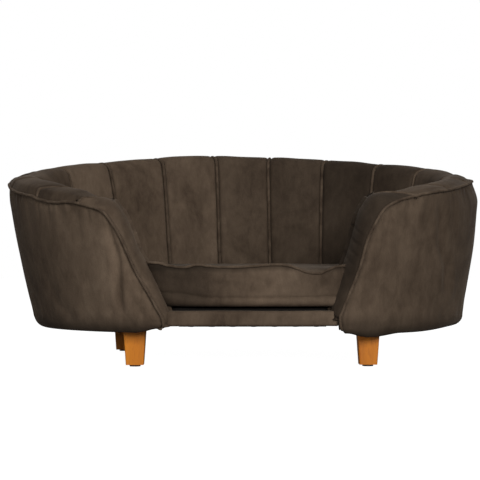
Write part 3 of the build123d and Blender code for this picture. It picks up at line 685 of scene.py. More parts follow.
def liningProfile(side, length):
    # offsets and heights from the outer seam over the roll and down to the deck
    top = rimTop(length)
    edgeZ, edgeOut = edgeAt(side, length)
    end = smooth(channelPad["endFrom"] * wall["pitch"], channelPad["endTo"] * wall["pitch"], length)
    low = mix(wall["innerLow"], wall["innerEnd"], end)
    startOut = edgeOut - channelPad["overIn"]
    over = [(startOut, edgeZ)]
    for share in channelPad["overShares"]:
        fall = (top - edgeZ) * share
        cut = max(1 - fall / wall["rollRadius"], 0) ** 3
        over.append((startOut * (1 - cut) ** (1 / 3), top - fall))
    return (
        *over, *((out, top - fall) for out, fall in channelPad["roll"]),
        (mix(-0.0285, low, 0.30), mix(top - 0.024, wall["innerBend"], 0.30)),
        (mix(-0.0280, low, 0.66), mix(top - 0.024, wall["innerBend"], 0.64)),
        (low, wall["innerBend"] - 0.004), (low - 0.0012, channelPad["kneeZ"]), (low, wall["padFoot"]))


def padGroove(share, width):
    # depth below the crown, 1 at the seam and 0 in the middle, with a steep pillow edge
    distance = min(share, 1 - share) * width - channelPad["gap"]
    reach = min(max(distance, 0) / channelPad["edge"], 1)
    return 1 - math.sqrt(max(1 - (1 - reach) ** 2, 0))


def inwardOf(profile, place):
    # into the padding, square to the profile
    before = profile[max(place - 1, 0)]
    after = profile[min(place + 1, len(profile) - 1)]
    across = Vector((after[0] - before[0], after[1] - before[1])).normalized()
    return Vector((-across.y, across.x))


def endLength(side, out, z):
    # where the last channel stops: far forward at the outer seam, and drawn back inside the roll
    onRoll = clamp((0.028 - out) / 0.054) ** channelPad["rollPower"]
    return mix(armFront["wedgeLength"], innerEndLength(side, min(z, armFront["rollTop"])), onRoll)


def fineProfile(side, length):
    return throughPoints(liningProfile(side, length), channelPad["profileSteps"])


def swayed(side, length, out, z):
    # seams slant on the inside of the roll
    signed = side * length
    share = smooth(rimTop(abs(length)) - 0.035, 0.17, z)
    shift = mix(valueAt(channelPad["swayHigh"], signed), valueAt(channelPad["swayLow"], signed), share)
    atEnds = smooth(0.45, 0.60, abs(length))
    return length + side * shift * smooth(mix(0.004, 0.030, atEnds), mix(-0.022, -0.010, atEnds), out)


def channelSection(side, first, share):
    isLast = first > (wall["sideChannels"] - 0.6) * wall["pitch"]
    length = first + share * wall["pitch"]
    profile = fineProfile(side if length >= 0 else -side, abs(length))
    points = []
    for place, (out, z) in enumerate(profile):
        here, width = length, wall["pitch"]
        if isLast:
            end = endLength(side, out, z)
            here = first + share * (end - first)
            width = end - first
            if place:
                out, z = fineProfile(side, here)[place]
        groove = padGroove(share, width)
        crown = channelPad["crown"] * (2 * share - 1) ** 2
        inward = inwardOf(profile, place)
        slack = mix(channelPad["grooveRoll"], channelPad["groove"], smooth(*channelPad["rollPlaces"], place))
        folds = softNoise(wallPoint(side, here, out, z), channelPad["wrinkleSize"], 2) * channelPad["wrinkle"]
        depth = (groove * slack + crown + folds * (1 - groove)) * smooth(*channelPad["edgePlaces"], place)
        here = mix(swayed(side, here, out, z), here, share if isLast else 0)
        points.append(wallPoint(side, here, out + inward.x * depth, z + inward.y * depth))
    return points


def addChannelPad(name, side, first):
    verts = []
    count = channelPad["along"]
    for row in range(count + 1):
        # rows gather near the seams, where the pad turns down
        share = 0.5 - 0.5 * math.cos(math.pi * row / count)
        edge = channelPad["gap"] / wall["pitch"]
        share = mix(edge, 1 - edge, share)
        front = channelSection(side, first, share)
        length = first + share * wall["pitch"]
        top = rimTop(abs(length))
        behind = min(length, channelPad["backEnd"] * wall["pitch"])
        backHigh = wallPoint(side, behind, wall["padBackTop"], top - channelPad["backDrop"])
        backLow = wallPoint(side, behind, wall["padBackLow"], wall["padFoot"])
        verts += front + [backLow, backHigh]
    piece = addObject(name, verts, skinFaces(count + 1, len(verts) // (count + 1)), velvetLining)
    middle = first + 0.5 * wall["pitch"]
    middleX = side * planAt(abs(middle)).x
    # painted light and shade: channels lightened on the left and darkened on the right, and across each
    # channel
    paintLightShade(piece, "lining", lambda spot: side * middle + channelPad["lightShadeSlope"] * (spot.x - middleX))
    finishPiece(piece, tubBody, "lining_velvet", name.replace("lining", "channel_pad"))


addChannelPad("lining_back_0", 1, -0.5 * wall["pitch"])
for number in range(1, wall["sideChannels"] + 1):
    first = (number - 0.5) * wall["pitch"]
    addChannelPad("lining_right_" + str(number), 1, first)
    addChannelPad("lining_left_" + str(number), -1, first)
print("channel lining made")


def between(points, start, end, count):
    # evenly spaced points of a curve between two places on it, given as indices
    part = points[start:end + 1] if end >= start else points[end:start + 1][::-1]
    return [tuple(point) for point in resampled(part, count)]


def closedSheet(name, rows, thickness, material, towards):
    # a grid of points with an even thickness behind it, as one closed skin, whose outside lies towards
    count, width = len(rows), len(rows[0])
    verts = [Vector(point) for row in rows for point in row]
    behind = []
    for place in range(count):
        for column in range(width):
            here = verts[place * width + column]
            up = verts[min(place + 1, count - 1) * width + column] - verts[max(place - 1, 0) * width + column]
            along = (verts[place * width + min(column + 1, width - 1)]
                     - verts[place * width + max(column - 1, 0)])
            normal = up.cross(along)
            normal = normal.normalized() if normal.length > 1e-12 else towards(here).normalized()
            if normal.dot(towards(here)) < 0:
                normal = -normal
            behind.append(here - normal * thickness)
    faces = gridFaces(count, width)
    faces += [tuple(reversed([part + count * width for part in face])) for face in faces[:]]
    rim = [column for column in range(width)]
    rim += [place * width + width - 1 for place in range(1, count)]
    rim += [(count - 1) * width + column for column in range(width - 2, -1, -1)]
    rim += [place * width for place in range(count - 2, 0, -1)]
    for place in range(len(rim)):
        following = rim[(place + 1) % len(rim)]
        faces.append((rim[place], following, following + count * width, rim[place] + count * width))
    return addObject(name, verts + behind, faces, material)


# Outer cover: smooth velvet over the shell, with drag creases and gathers under the piping
outerCover = {
    "split": 3.5, "rows": 170, "columns": 84, "backSteps": 150, "thickness": 0.0030, "centreZ": 0.16,
    "cornerRadius": 0.0185, "endRadius": 0.0110, "endBack": 0.012, "hem": 0.014, "hemTurns": (1.5, 2.0),
    "cornerSteps": 7, "softness": 0.0012, "softSize": 0.11, "gather": 0.0030, "gatherReach": 0.016,
    "gatherPitch": 0.0085, "gatherStart": (0.0, 0.004), "fold": 0.0050, "foldPitch": 0.022,
    "foldReach": 0.030, "foldStart": (0.004, 0.016), "hemPitch": 0.016,
    "hemFold": 0.0020, "hemLimits": (0.075, 0.125), "tuck": 0.0042, "tuckReach": 0.0035,
    # creases by distance from the middle and height, how deep they are and how wide
    "creaseStart": (0.62, 0.72),
    "creasesLeft": (
        (((0.2183, 0.2286), (0.2071, 0.1730), (0.2094, 0.0936)), 0.0046, 0.0060),
        (((0.2320, 0.2240), (0.2190, 0.1990), (0.1990, 0.1800)), 0.0010, 0.0060),
        (((0.1947, 0.1400), (0.1850, 0.1050), (0.1640, 0.0750)), 0.0014, 0.0060),
        (((0.3300, 0.1500), (0.3160, 0.1050), (0.2980, 0.0800)), 0.0016, 0.0080),
        (((0.2600, 0.1900), (0.2530, 0.1500), (0.2570, 0.1200)), 0.0009, 0.0080)),
    "creasesRight": (
        (((0.3130, 0.2608), (0.3125, 0.1968), (0.3260, 0.1648), (0.3260, 0.1200)), 0.0040, 0.0070),
        (((0.2600, 0.2360), (0.2680, 0.2080)), 0.0010, 0.0050),
        (((0.2280, 0.2100), (0.2400, 0.1900)), 0.0009, 0.0050),
        (((0.2900, 0.1640), (0.3060, 0.1400)), 0.0009, 0.0050),
        (((0.1990, 0.1750), (0.1910, 0.1300), (0.1800, 0.0900)), 0.0012, 0.0080),
        (((0.3500, 0.1300), (0.3440, 0.0900)), 0.0015, 0.0060)),
}


def coverShift(side, length, z, edgeGap):
    look = outerCover
    spot = rightPoint(length, 0, z)
    soft = softNoise((side * spot.x, spot.y, z), look["softSize"], 5) * look["softness"]
    soft += softNoise((side * spot.x, spot.y, z * 0.6), look["softSize"] / 3, 9) * look["softness"] * 0.4
    pull = math.exp(-edgeGap / look["gatherReach"])
    ripple = noise.noise(Vector((length / look["gatherPitch"], side * 3.7, edgeGap / 0.09)))
    ripple += 0.5 * noise.noise(Vector((length / look["gatherPitch"] * 2.1, side * 8.1, edgeGap / 0.05)))
    soft += ripple * look["gather"] * pull * smooth(*look["gatherStart"], edgeGap)
    fold = noise.noise(Vector((length / look["foldPitch"], side * 2.9, edgeGap / 0.12)))
    fold *= look["fold"] * math.exp(-edgeGap / look["foldReach"])
    soft += fold * smooth(*look["foldStart"], edgeGap)
    hem = noise.noise(Vector((length / look["hemPitch"], side * 6.3, z / 0.06)))
    soft += hem * look["hemFold"] * (1 - smooth(*look["hemLimits"], z))
    if length > look["split"] * wall["pitch"]:
        absX = rightPoint(length, outerLine(z, rimTop(length)), z).x
        creases = look["creasesRight" if side > 0 else "creasesLeft"]
        soft -= creaseDepth(absX, z, creases) * smooth(*look["creaseStart"], length)
    return soft - look["tuck"] * math.exp(-edgeGap / look["tuckReach"])


def coverUnderRows(side, bottomRow, isEnd):
    # the rows that turn under the tub, from the lower edge of the wall to the hem
    look = outerCover
    rows = []
    turns = [(step + 1) / look["cornerSteps"] for step in range(look["cornerSteps"])]
    for turn in [*turns, *look["hemTurns"]]:
        row = []
        for place, (length, z) in enumerate(bottomRow):
            share = place / (len(bottomRow) - 1)
            angle = math.pi / 2 * min(turn, 1)
            radius = mix(look["cornerRadius"], look["endRadius"], smooth(0.90, 1, share) if isEnd else 0)
            out = wall["outerLow"] - radius + radius * math.cos(angle) - look["hem"] * max(turn - 1, 0)
            back = look["endBack"] * min(turn, 1.3) * share ** 8 if isEnd else 0
            row.append(wallPoint(side, length - back, out, z - radius * math.sin(angle)))
        rows.append(row)
    return rows


def fromCentre(point):
    return point - Vector((0, wall["moveY"], outerCover["centreZ"]))


def addSideCover(side, sideName):
    look = outerCover
    edge = edges[side]
    split = look["split"] * wall["pitch"]
    start = min(range(len(edge)), key=lambda place: abs(edge[place][0] - split))
    kneeLength = outerSeam[side][armFront["knee" + sideName] * armFront["stepCount"]][0]
    knee = min(range(start, len(edge)), key=lambda place: abs(edge[place][0] - kneeLength))
    foot = min(range(knee, len(edge)), key=lambda place: abs(edge[place][1] - wall["cornerTop"]))
    count, width = look["rows"], look["columns"]
    top = between(edge, start, knee, count)
    right = between(edge, foot, knee, width)
    low = wall["cornerTop"]
    corners = (split, low), right[0][:2], top[0][:2], right[-1][:2]
    rows = []
    for row in range(count):
        # a Coons patch between the lower edge, the split, the arm front and the rim
        a = row / (count - 1)
        points = []
        for column in range(width):
            b = column / (width - 1)
            pair = []
            for axis in range(2):
                bottom = mix(corners[0][axis], corners[1][axis], a)
                left = mix(corners[0][axis], corners[2][axis], b)
                blendRows = mix(bottom, top[row][axis], b)
                blendColumns = mix(left, right[column][axis], a)
                flat = mix(bottom, mix(corners[2][axis], corners[3][axis], a), b)
                pair.append(blendRows + blendColumns - flat)
            length, z = pair
            gap = min(math.hypot(length - point[0], z - point[1]) for point in edge[start::3])
            out = outerLine(z, rimTop(length)) + coverShift(side, length, z, gap)
            points.append((length, z, out))
        rows.append(points)
    grid = coverUnderRows(side, [row[0][:2] for row in rows], True)[::-1]
    for column in range(width):
        grid.append([wallPoint(side, row[column][0], row[column][2], row[column][1]) for row in rows])
    piece = closedSheet("outerCover" + sideName, grid, look["thickness"], velvetOuter, fromCentre)
    # painted light and shade across the cover, with painted shade along the piping and the hem
    paintLightShade(piece, "cover" + sideName, lambda spot: spot.x, coverShade)
    finishPiece(piece, tubBody, "outer_velvet", "outer_cover_" + sideName.lower())


def addBackCover():
    look = outerCover
    reach = look["split"] * wall["pitch"]
    columns = []
    for step in range(look["backSteps"]):
        length = mix(-reach, reach, step / (look["backSteps"] - 1))
        side = 1 if length >= 0 else -1
        columns.append((length, rimTop(abs(length)) - edgeDrop(side, abs(length))))
    rows = []
    for row in range(look["columns"]):
        points = []
        for length, topZ in columns:
            side = 1 if length >= 0 else -1
            z = mix(wall["cornerTop"], topZ, row / (look["columns"] - 1))
            out = outerLine(z, rimTop(abs(length))) + coverShift(side, abs(length), z, topZ - z)
            points.append(wallPoint(side, abs(length), out, z))
        rows.append(points)
    under = coverUnderRows(1, [(length, wall["cornerTop"]) for length, topZ in columns], False)
    piece = closedSheet("outerCoverBack", under[::-1] + rows, look["thickness"], velvetOuter, fromCentre)
    # painted shade along the piping and the hem of the back cover
    paintLightShade(piece, "coverBack", lambda spot: spot.x, coverShade)
    finishPiece(piece, tubBody, "outer_velvet", "outer_cover_back")


addSideCover(1, "Right")
addSideCover(-1, "Left")
addBackCover()
print("outer cover made")


# Arm front strips: a padded band between the outer seam and the inner seam
armStrip = {
    "rows": 110, "columns": 22, "bulge": 0.0125, "bulgeShare": 0.24, "thickness": 0.006, "crownPower": 0.55,
    "puckers": 26, "pucker": 0.0011, "puckerReach": 0.28, "puckerRest": 0.35, "softness": 0.0010,
    "softSize": 0.05, "footDrop": 0.0155, "rollShare": 0.25, "rollLimits": (0.10, 0.27),
}


def innerBoundary(side):
    # the edge of the last channel: over the roll, then down the inside of the arm front
    points = []
    for place, (out, z) in enumerate(fineProfile(side, (wall["sideChannels"] + 0.5) * wall["pitch"])):
        here = endLength(side, out, z)
        if place:
            out, z = fineProfile(side, here)[place]
        points.append((here, z, out))
    return points


def addArmStrip(side, sideName):
    look = armStrip
    edge = edges[side]
    start = min(range(len(edge)), key=lambda place: abs(edge[place][0] - armFront["wedgeLength"])
                + (1 if edge[place][1] < 0.2 else 0))
    outer = [wallPoint(side, length, out, z) for length, z, out in edge[start:]]
    inner = [wallPoint(side, length, out, z) for length, z, out in innerBoundary(side)]
    inner.append(inner[-1] + Vector((side * 0.002, 0.004, -look["footDrop"])))
    outer = resampled(outer, look["rows"])
    inner = resampled(inner, look["rows"])
    grid = []
    for row in range(look["rows"]):
        low = max(row - 1, 0)
        high = min(row + 1, look["rows"] - 1)
        tangent = (outer[high] - outer[low] + inner[high] - inner[low]).normalized()
        span = inner[row] - outer[row]
        forward = span.cross(tangent)
        forward = forward.normalized() if forward.length > 1e-9 else Vector((0, 0, 1))
        if forward.dot(Vector((0, -1, 0.7))) < 0:
            forward = -forward
        height = min(look["bulge"], look["bulgeShare"] * span.length)
        height *= mix(look["rollShare"], 1, smooth(*look["rollLimits"], row / look["rows"]))
        points = []
        for column in range(look["columns"]):
            share = column / (look["columns"] - 1)
            crown = (4 * share * (1 - share)) ** look["crownPower"]
            point = outer[row].lerp(inner[row], share)
            ripple = noise.noise(Vector((row / look["rows"] * look["puckers"], side * 5.3, share * 1.3)))
            ripple *= look["pucker"] * (math.exp(-share / look["puckerReach"]) + look["puckerRest"]) * crown
            soft = softNoise(point, look["softSize"], 12) * look["softness"] * crown
            soft -= foldDepth(point) * crown
            points.append(point + forward * (height * crown + ripple + soft))
        grid.append(points)
    piece = closedSheet("armStrip" + sideName, grid, look["thickness"], velvetLining,
                        lambda point: Vector((0, -1, 0.5)))
    # painted light and shade: the left strip is lightened and the right strip darkened
    paintLightShade(piece, "strip" + sideName, lambda spot: spot.x)
    finishPiece(piece, tubBody, "lining_velvet", "arm_front_pad_" + sideName.lower())


addArmStrip(1, "Right")
addArmStrip(-1, "Left")
print("arm strips made")


# Piping round the rim, and the narrow tucks along the channel seams and beside the arm strips
piping = {"radius": 0.0023, "lift": 0.0004, "out": 0.0006, "wobble": 0.0008, "tuckRadius": 0.0029,
          "tuckDepth": 0.0041, "tuckDepthRoll": 0.0034, "endTuckRadius": 0.0021,
          "endTuckLift": {1: 0.0008, -1: -0.0006},
          "steps": 760, "wobbleSize": 0.012, "endTuckSteps": 140}


def addRimPiping():
    path = []
    for side in (-1, 1):
        points = []
        for length, z, out in edges[side]:
            points.append(wallPoint(side, length, out + piping["out"], z + piping["lift"]))
        path = points[::-1] + path if side < 0 else path + points[1:]
    path = resampled(path, piping["steps"])
    uneven = [point + Vector((0, 0, softNoise(point, piping["wobbleSize"], 31) * piping["wobble"]))
              for point in path]
    verts, faces = tubeAlong(uneven, piping["radius"], 10)
    piece = addObject("rimPiping", verts, faces, velvetPiping)
    finishPiece(piece, tubBody, "piping_velvet", "rim_piping")


def addTucks():
    verts, faces = [], []
    for seam in range(-wall["sideChannels"], wall["sideChannels"]):
        length = (seam + 0.5) * wall["pitch"]
        side = 1 if length >= 0 else -1
        profile = fineProfile(side, abs(length))
        path = []
        for place, (out, z) in enumerate(profile):
            inward = inwardOf(profile, place)
            deep = mix(piping["tuckDepthRoll"], piping["tuckDepth"], smooth(*channelPad["rollPlaces"], place))
            here = swayed(side, abs(length), out, z)
            path.append(wallPoint(side, here, out + inward.x * deep, z + inward.y * deep))
        moreVerts, moreFaces = tubeAlong(path, piping["tuckRadius"], 8)
        faces += [tuple(part + len(verts) for part in face) for face in moreFaces]
        verts += moreVerts
    piece = addObject("channelTucks", verts, faces, velvetPiping)
    finishPiece(piece, tubBody, "piping_velvet")


def addStripTucks():
    for side, sideName in ((1, "Right"), (-1, "Left")):
        boundary = innerBoundary(side)
        profile = [(out, z) for length, z, out in boundary]
        path = []
        for place, (length, z, out) in enumerate(boundary):
            inward = inwardOf(profile, place) * piping["endTuckLift"][side]
            path.append(wallPoint(side, length, out - inward.x, z - inward.y))
        path = resampled(path, piping["endTuckSteps"])
        verts, faces = tubeAlong(path, piping["endTuckRadius"], 8)
        piece = addObject("stripTuck" + sideName, verts, faces, velvetPiping)
        finishPiece(piece, tubBody, "piping_velvet")


addRimPiping()
addTucks()
addStripTucks()
print("piping and tucks made")


# Seat cushion
seatCushion = {
    "around": 420, "pivotY": -0.06, "bottom": 0.0996, "pipingRadius": 0.0022, "pipingInset": 0.0018,
    "pipingLift": 0.0004, "seamHeight": 0.1585, "seamWander": 0.0022, "seamInset": 0.0046, "seamDrop": 0.0004,
    "lowHeight": 0.1145, "lowWander": 0.0015, "crown": 0.0030, "square": 0.0050,
    "squareFront": (-0.275, -0.20), "squareSide": (0.095, 0.127), "wideLow": 0.0170, "wideHigh": 0.0360,
    "wideFrom": 0.100, "wideTo": 0.165, "wideSide": (0.05, 0.128), "wideFront": (-0.270, -0.246),
    "turnSide": (-0.065, -0.150), "turnFront": (-0.22, -0.27), "waveFront": (-0.26, -0.15),
    # rows from the bottom up: sizes, (inset, height over the bottom), (inset, height over the lower wave),
    # (share of the way to the seam, inset), and at the top (size, evenness of height, share of the crown)
    "bottomShares": (0.02, 0.5, 0.9),
    "edgeRows": ((0.0100, 0.0005), (0.0040, 0.0030), (0.0008, 0.0070)),
    "lowRows": ((0.0002, -0.0020), (0.0030, 0.0), (0.0002, 0.0020)),
    "sideRows": (
        (0.12, -0.0004), (0.20, -0.0008), (0.24, -0.0006), (0.37, -0.0003), (0.51, 0.0), (0.55, 0.0),
        (0.66, -0.0004), (0.80, -0.0006), (0.92, 0.0010)),
    "topRows": (
        (0.975, 0.0, 0.02), (0.955, 0.15, 0.20), (0.93, 0.40, 0.42), (0.88, 0.75, 0.62), (0.80, 1.0, 0.78),
        (0.6, 1.0, 0.9), (0.3, 1.0, 0.97), (0.02, 1.0, 1.0)),
    "sideRings": (4, 18), "firstCreased": 6, "creaseBefore": -0.25,
    "waves": ((0.06, 0.0013, 23), (0.024, 0.0004, 29)),
    "creases": (
        (((0.133, 0.1610), (0.113, 0.1330), (0.090, 0.1150)), 0.0034, 0.0028),
        (((0.093, 0.1110), (0.083, 0.1040)), 0.0016, 0.0025),
        (((-0.104, 0.1160), (-0.086, 0.1060)), 0.0014, 0.0028),
        (((-0.104, 0.1520), (-0.130, 0.1400)), 0.0008, 0.0040)),
    "sideShade": 0.62, "sideShadeLimits": (0.1575, 0.1600),
    "backTurn": 0.020, "zipRadius": 0.45367, "zipDepth": 0.0042, "zipY": -0.23357,
    "grooveRows": range(10, 15), "grooveHalf": 0.1327, "grooveBehind": 0.1,
    # heights of the top seam and of the lower edge along the front, by x
    "frontWave": (
        (-0.185, 0.1715), (-0.164, 0.1705), (-0.148, 0.1698), (-0.132, 0.1655), (-0.118, 0.1630),
        (-0.106, 0.1628), (-0.092, 0.1664), (-0.084, 0.1670), (-0.070, 0.1648), (-0.052, 0.1632),
        (-0.020, 0.1634), (0.004, 0.1648), (0.020, 0.1664), (0.036, 0.1672), (0.050, 0.1668), (0.062, 0.1648),
        (0.074, 0.1600), (0.086, 0.1552), (0.100, 0.1530), (0.110, 0.1538), (0.124, 0.1605), (0.134, 0.1642),
        (0.146, 0.1652), (0.180, 0.1650)),
    "lowWave": (
        (-0.19, 0.1240), (-0.168, 0.1229), (-0.125, 0.1215), (-0.104, 0.1185), (-0.082, 0.1150),
        (-0.055, 0.1142), (0.010, 0.1142), (0.070, 0.1146), (0.105, 0.1152), (0.132, 0.1165), (0.18, 0.1175)),
}

# How the cushion's cover is blown up as cloth, and where it is held
seatCloth = {
    "voxel": 0.006, "startInset": 0.002, "pressure": 4.0, "frames": 20, "stiffness": 60, "share": 0.05,
    "cap": 0.0024, "seamReach": (0.003, 0.020), "lowReach": (0.104, 0.120), "backReach": (0.10, 0.16),
    "backTop": (0.152, 0.158),
}


def outlineOf(nodeName, count, isTop=True, skip=()):
    # the outer edge of a flat node, evenly spaced, from its own mesh
    matrix = nodes[nodeName].matrix_world
    corners = [matrix @ vert.co for vert in nodes[nodeName].data.vertices]
    level = (max if isTop else min)(corner.z for corner in corners)
    ring = [corner for corner in corners if abs(level - corner.z) < 0.0002]
    ring = [corner for corner in ring if not any(
        low[0] - 0.006 < corner.x < high[0] + 0.006 and low[1] - 0.006 < corner.y < high[1] + 0.006
        for low, high in skip)]
    pivot = Vector((0, seatCushion["pivotY"], 0))
    ring.sort(key=lambda corner: math.atan2(corner.x - pivot.x, -(corner.y - pivot.y)))
    ring = [Vector((corner.x, corner.y, 0)) for corner in ring]
    ring.append(ring[0].copy())
    return resampled(ring, count + 1)[:-1]


def insetOf(ring, amount):
    count = len(ring)
    moved = []
    for place in range(count):
        tangent = (ring[(place + 2) % count] - ring[place - 2]).normalized()
        inward = Vector((-tangent.y, tangent.x, 0))
        moved.append(ring[place] + inward * amount)
    return moved


def waveHeight(point, key, height):
    wave = seatCushion[key]
    front = 1 - smooth(*seatCushion["waveFront"], point.y)
    if front <= 0:
        return height
    return mix(height, valueAt(wave, point.x), front)


def pressed(point):
    # the front of the cushion fills the space between the arm fronts, and leans with them
    look = seatCushion
    share = (point.z - look["wideFrom"]) / (look["wideTo"] - look["wideFrom"])
    wide = mix(look["wideLow"], look["wideHigh"], clamp(share))
    wide *= smooth(*look["wideSide"], abs(point.x)) * (1 - smooth(*look["wideFront"], point.y))
    rise = clamp((point.z - slump["low"]) / (slump["high"] - slump["low"]) / slump["frontKnee"])
    lean = slump["leanFront"] * rise * (1 - smooth(*slump["frontLimits"], point.y))
    back = look["backTurn"] * smooth(*look["turnSide"], point.x) * smooth(*look["turnFront"], point.y)
    return Vector((point.x + math.copysign(wide, point.x) - lean, point.y + back, point.z))


def puffUp(piece, look, holdOf):
    # a cloth copy is blown up, and the piece takes over a share of how its cover moves
    copy = placed(piece.name + "Cloth", piece.data.copy())
    for vert in copy.data.vertices:
        vert.co -= vert.normal * look["startInset"]
    remesh = copy.modifiers.new("evenGrid", "REMESH")
    remesh.mode = "VOXEL"
    remesh.voxel_size = look["voxel"]
    depsgraph = bpy.context.evaluated_depsgraph_get()
    even = bpy.data.meshes.new_from_object(copy.evaluated_get(depsgraph))
    copy.modifiers.remove(remesh)
    copy.data = even
    before = [vert.co.copy() for vert in even.vertices]
    cloth = copy.modifiers.new("cover", "CLOTH")
    cloth.settings.use_pressure = True
    cloth.settings.uniform_pressure_force = look["pressure"]
    cloth.settings.effector_weights.gravity = 0
    cloth.settings.tension_stiffness = cloth.settings.compression_stiffness = look["stiffness"]
    cloth.point_cache.frame_end = look["frames"]
    for frameNumber in range(1, look["frames"] + 1):
        bpy.context.scene.frame_set(frameNumber)
    depsgraph = bpy.context.evaluated_depsgraph_get()
    after = bpy.data.meshes.new_from_object(copy.evaluated_get(depsgraph))
    moves = [vert.co - start for vert, start in zip(after.vertices, before)]
    typical = sum(move.length for move in moves) / len(moves)
    tree = treeOf(before)
    for vert in piece.data.vertices:
        near = tree.find_n(vert.co, 4)
        move = sum((moves[place] for spot, place, distance in near), Vector()) / len(near) * look["share"]
        if move.length > look["cap"]:
            move *= look["cap"] / move.length
        vert.co += move * holdOf(vert.co)
    bpy.context.scene.frame_set(1)
    bpy.data.objects.remove(copy)
    print(piece.name, "puffed up, typical move", round(typical, 4))


def addCushion():
    look = seatCushion
    ring = outlineOf("cushion_bottom_panel", look["around"])
    direction = math.copysign(1, areaOf(ring))
    centre = Vector((0, sum(point.y for point in ring) / len(ring), 0))
    for place, point in enumerate(ring):
        # the front is fuller than its pattern: it presses against both arms
        front = 1 - smooth(*look["squareFront"], point.y)
        square = look["square"] * smooth(*look["squareSide"], abs(point.x))
        ring[place] = Vector((point.x, point.y - square * front, 0))
    spread = [pressed(Vector((point.x, point.y, look["seamHeight"]))) for point in ring]
    seam = [
        waveHeight(point, "frontWave", look["seamHeight"] + softNoise(point, 0.09, 17) * look["seamWander"])
        for point in spread]
    low = [
        waveHeight(point, "lowWave", look["lowHeight"] + softNoise(point, 0.07, 19) * look["lowWander"])
        for point in spread]
    rings = []

    def addRing(inset, height):
        # a row of the side, set in from the outline
        moved = insetOf(ring, inset * direction)
        rings.append([
            pressed(Vector((point.x, point.y, height(place) if callable(height) else height)))
            for place, point in enumerate(moved)])

    def addScaled(share, height):
        # a row of the top or the bottom, drawn in towards the middle
        heights = [height(place) if callable(height) else height for place in range(len(ring))]
        base = [pressed(Vector((point.x, point.y, heights[place]))) for place, point in enumerate(ring)]
        rings.append([
            Vector((point.x * share, centre.y + (point.y - centre.y) * share, point.z)) for point in base])

    for share in look["bottomShares"]:
        addScaled(share, look["bottom"])
    for inset, rise in look["edgeRows"]:
        addRing(inset, look["bottom"] + rise)
    for inset, rise in look["lowRows"]:
        addRing(inset, lambda place, rise=rise: low[place] + rise)
    for share, inset in look["sideRows"]:
        addRing(inset, lambda place, share=share: mix(low[place], seam[place], share))
    addRing(look["seamInset"], lambda place: seam[place] - look["seamDrop"])
    for size, level, rise in look["topRows"]:
        addScaled(size, lambda place, level=level, rise=rise: mix(seam[place], look["seamHeight"], level)
                  + look["crown"] * rise)
    verts = []
    grooveRows = look["grooveRows"]
    firstSide, lastSide = look["sideRings"]
    zipCentre = Vector((0, look["zipY"], 0))
    for number, points in enumerate(rings):
        for point in points:
            fromZip = Vector((point.x, point.y, 0)) - zipCentre
            isBack = point.y > look["grooveBehind"] and abs(fromZip.x) < look["grooveHalf"]
            if isBack and number in grooveRows:
                # the back has a groove, in which the zip lies
                isFloor = number not in (grooveRows[0], grooveRows[-1])
                reach = look["zipRadius"] - (look["zipDepth"] if isFloor else 0)
                verts.append(zipCentre + fromZip.normalized() * reach + Vector((0, 0, point.z)))
                continue
            soft = sum(softNoise(point, size, seed) * depth for size, depth, seed in look["waves"])
            outward = Vector((point.x - centre.x, point.y - centre.y, 0)).normalized()
            isSide = firstSide <= number <= lastSide
            move = outward * soft if isSide else Vector((0, 0, soft if number > lastSide else 0))
            if point.y < look["creaseBefore"] and look["firstCreased"] <= number <= lastSide:
                move = move - outward * creaseDepth(point.x, point.z, look["creases"])
            verts.append(point + move)
    piece = addObject("seatCushion", verts, skinFaces(len(rings), look["around"]), velvetSeat)
    # painted shade and light: the cushion's left front is darkened, its middle lightened, and its top above
    # the seam darkened
    paintLightShade(piece, "seat", lambda spot: spot.x, lambda spot: mix(
        1, look["sideShade"], smooth(*look["sideShadeLimits"], spot.z)))
    finishPiece(piece, cushionBody, "seat_velvet", "cushion_boxing", "cushion_top_panel",
                "cushion_bottom_panel", "cushion_foam")
    path = [pressed(Vector((point.x, point.y, seam[place] + look["pipingLift"])))
            for place, point in enumerate(insetOf(ring, look["pipingInset"] * direction))]
    verts, faces = tubeAlong(path, look["pipingRadius"], 10, True)
    seamTree = treeOf(path)

    def holdOf(spot):
        # the cover stays at its seam, at its lower edge and by the zip
        free = smooth(*seatCloth["seamReach"], seamTree.find(spot)[2])
        free *= smooth(*seatCloth["lowReach"], spot.z)
        back = smooth(*seatCloth["backReach"], spot.y)
        return free * (1 - back * (1 - smooth(*seatCloth["backTop"], spot.z)))

    puffUp(piece, seatCloth, holdOf)
    welt = addObject("cushionPiping", verts, faces, velvetPiping)
    finishPiece(welt, cushionBody, "piping_velvet", "cushion_piping")


addCushion()
print("seat cushion made")


# Front rail cover: velvet pulled over the front board
railCover = {"half": 0.1385, "radius": 0.0050, "low": 0.0694, "high": 0.0936, "depth": 0.024, "columns": 60,
             "moveX": -0.0035, "proud": 0.001, "cornerSteps": 5, "wave": 0.0006, "waveSize": 0.05}


def addRailCover():
    look = railCover
    low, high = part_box("front_rail_cover")
    radius, count = look["radius"], look["columns"]
    front, back = low[1] - look["proud"] + radius, low[1] + look["depth"] - radius
    bottom, top = look["low"] + radius, look["high"] - radius
    section = []
    corners = ((front, bottom, 180), (back, bottom, 270), (back, top, 0), (front, top, 90))
    for centreY, centreZ, first in corners:
        for step in range(look["cornerSteps"] + 1):
            turn = math.radians(first + 90 * step / look["cornerSteps"])
            section.append((centreY + radius * math.cos(turn), centreZ + radius * math.sin(turn)))
    verts = []
    for column in range(count + 1):
        x = look["moveX"] + mix(-look["half"], look["half"], column / count)
        for y, z in section:
            bow = softNoise((x, y, z), look["waveSize"], 41) * look["wave"]
            verts.append(Vector((x, y + bow, z + bow)))
    piece = addObject("frontRailCover", verts, skinFaces(count + 1, len(section)), velvetOuter)
    # painted light: the rail's velvet is lightened
    paintLightShade(piece, "rail", lambda spot: spot.x)
    finishPiece(piece, tubBody, "outer_velvet", "front_rail_cover")


addRailCover()


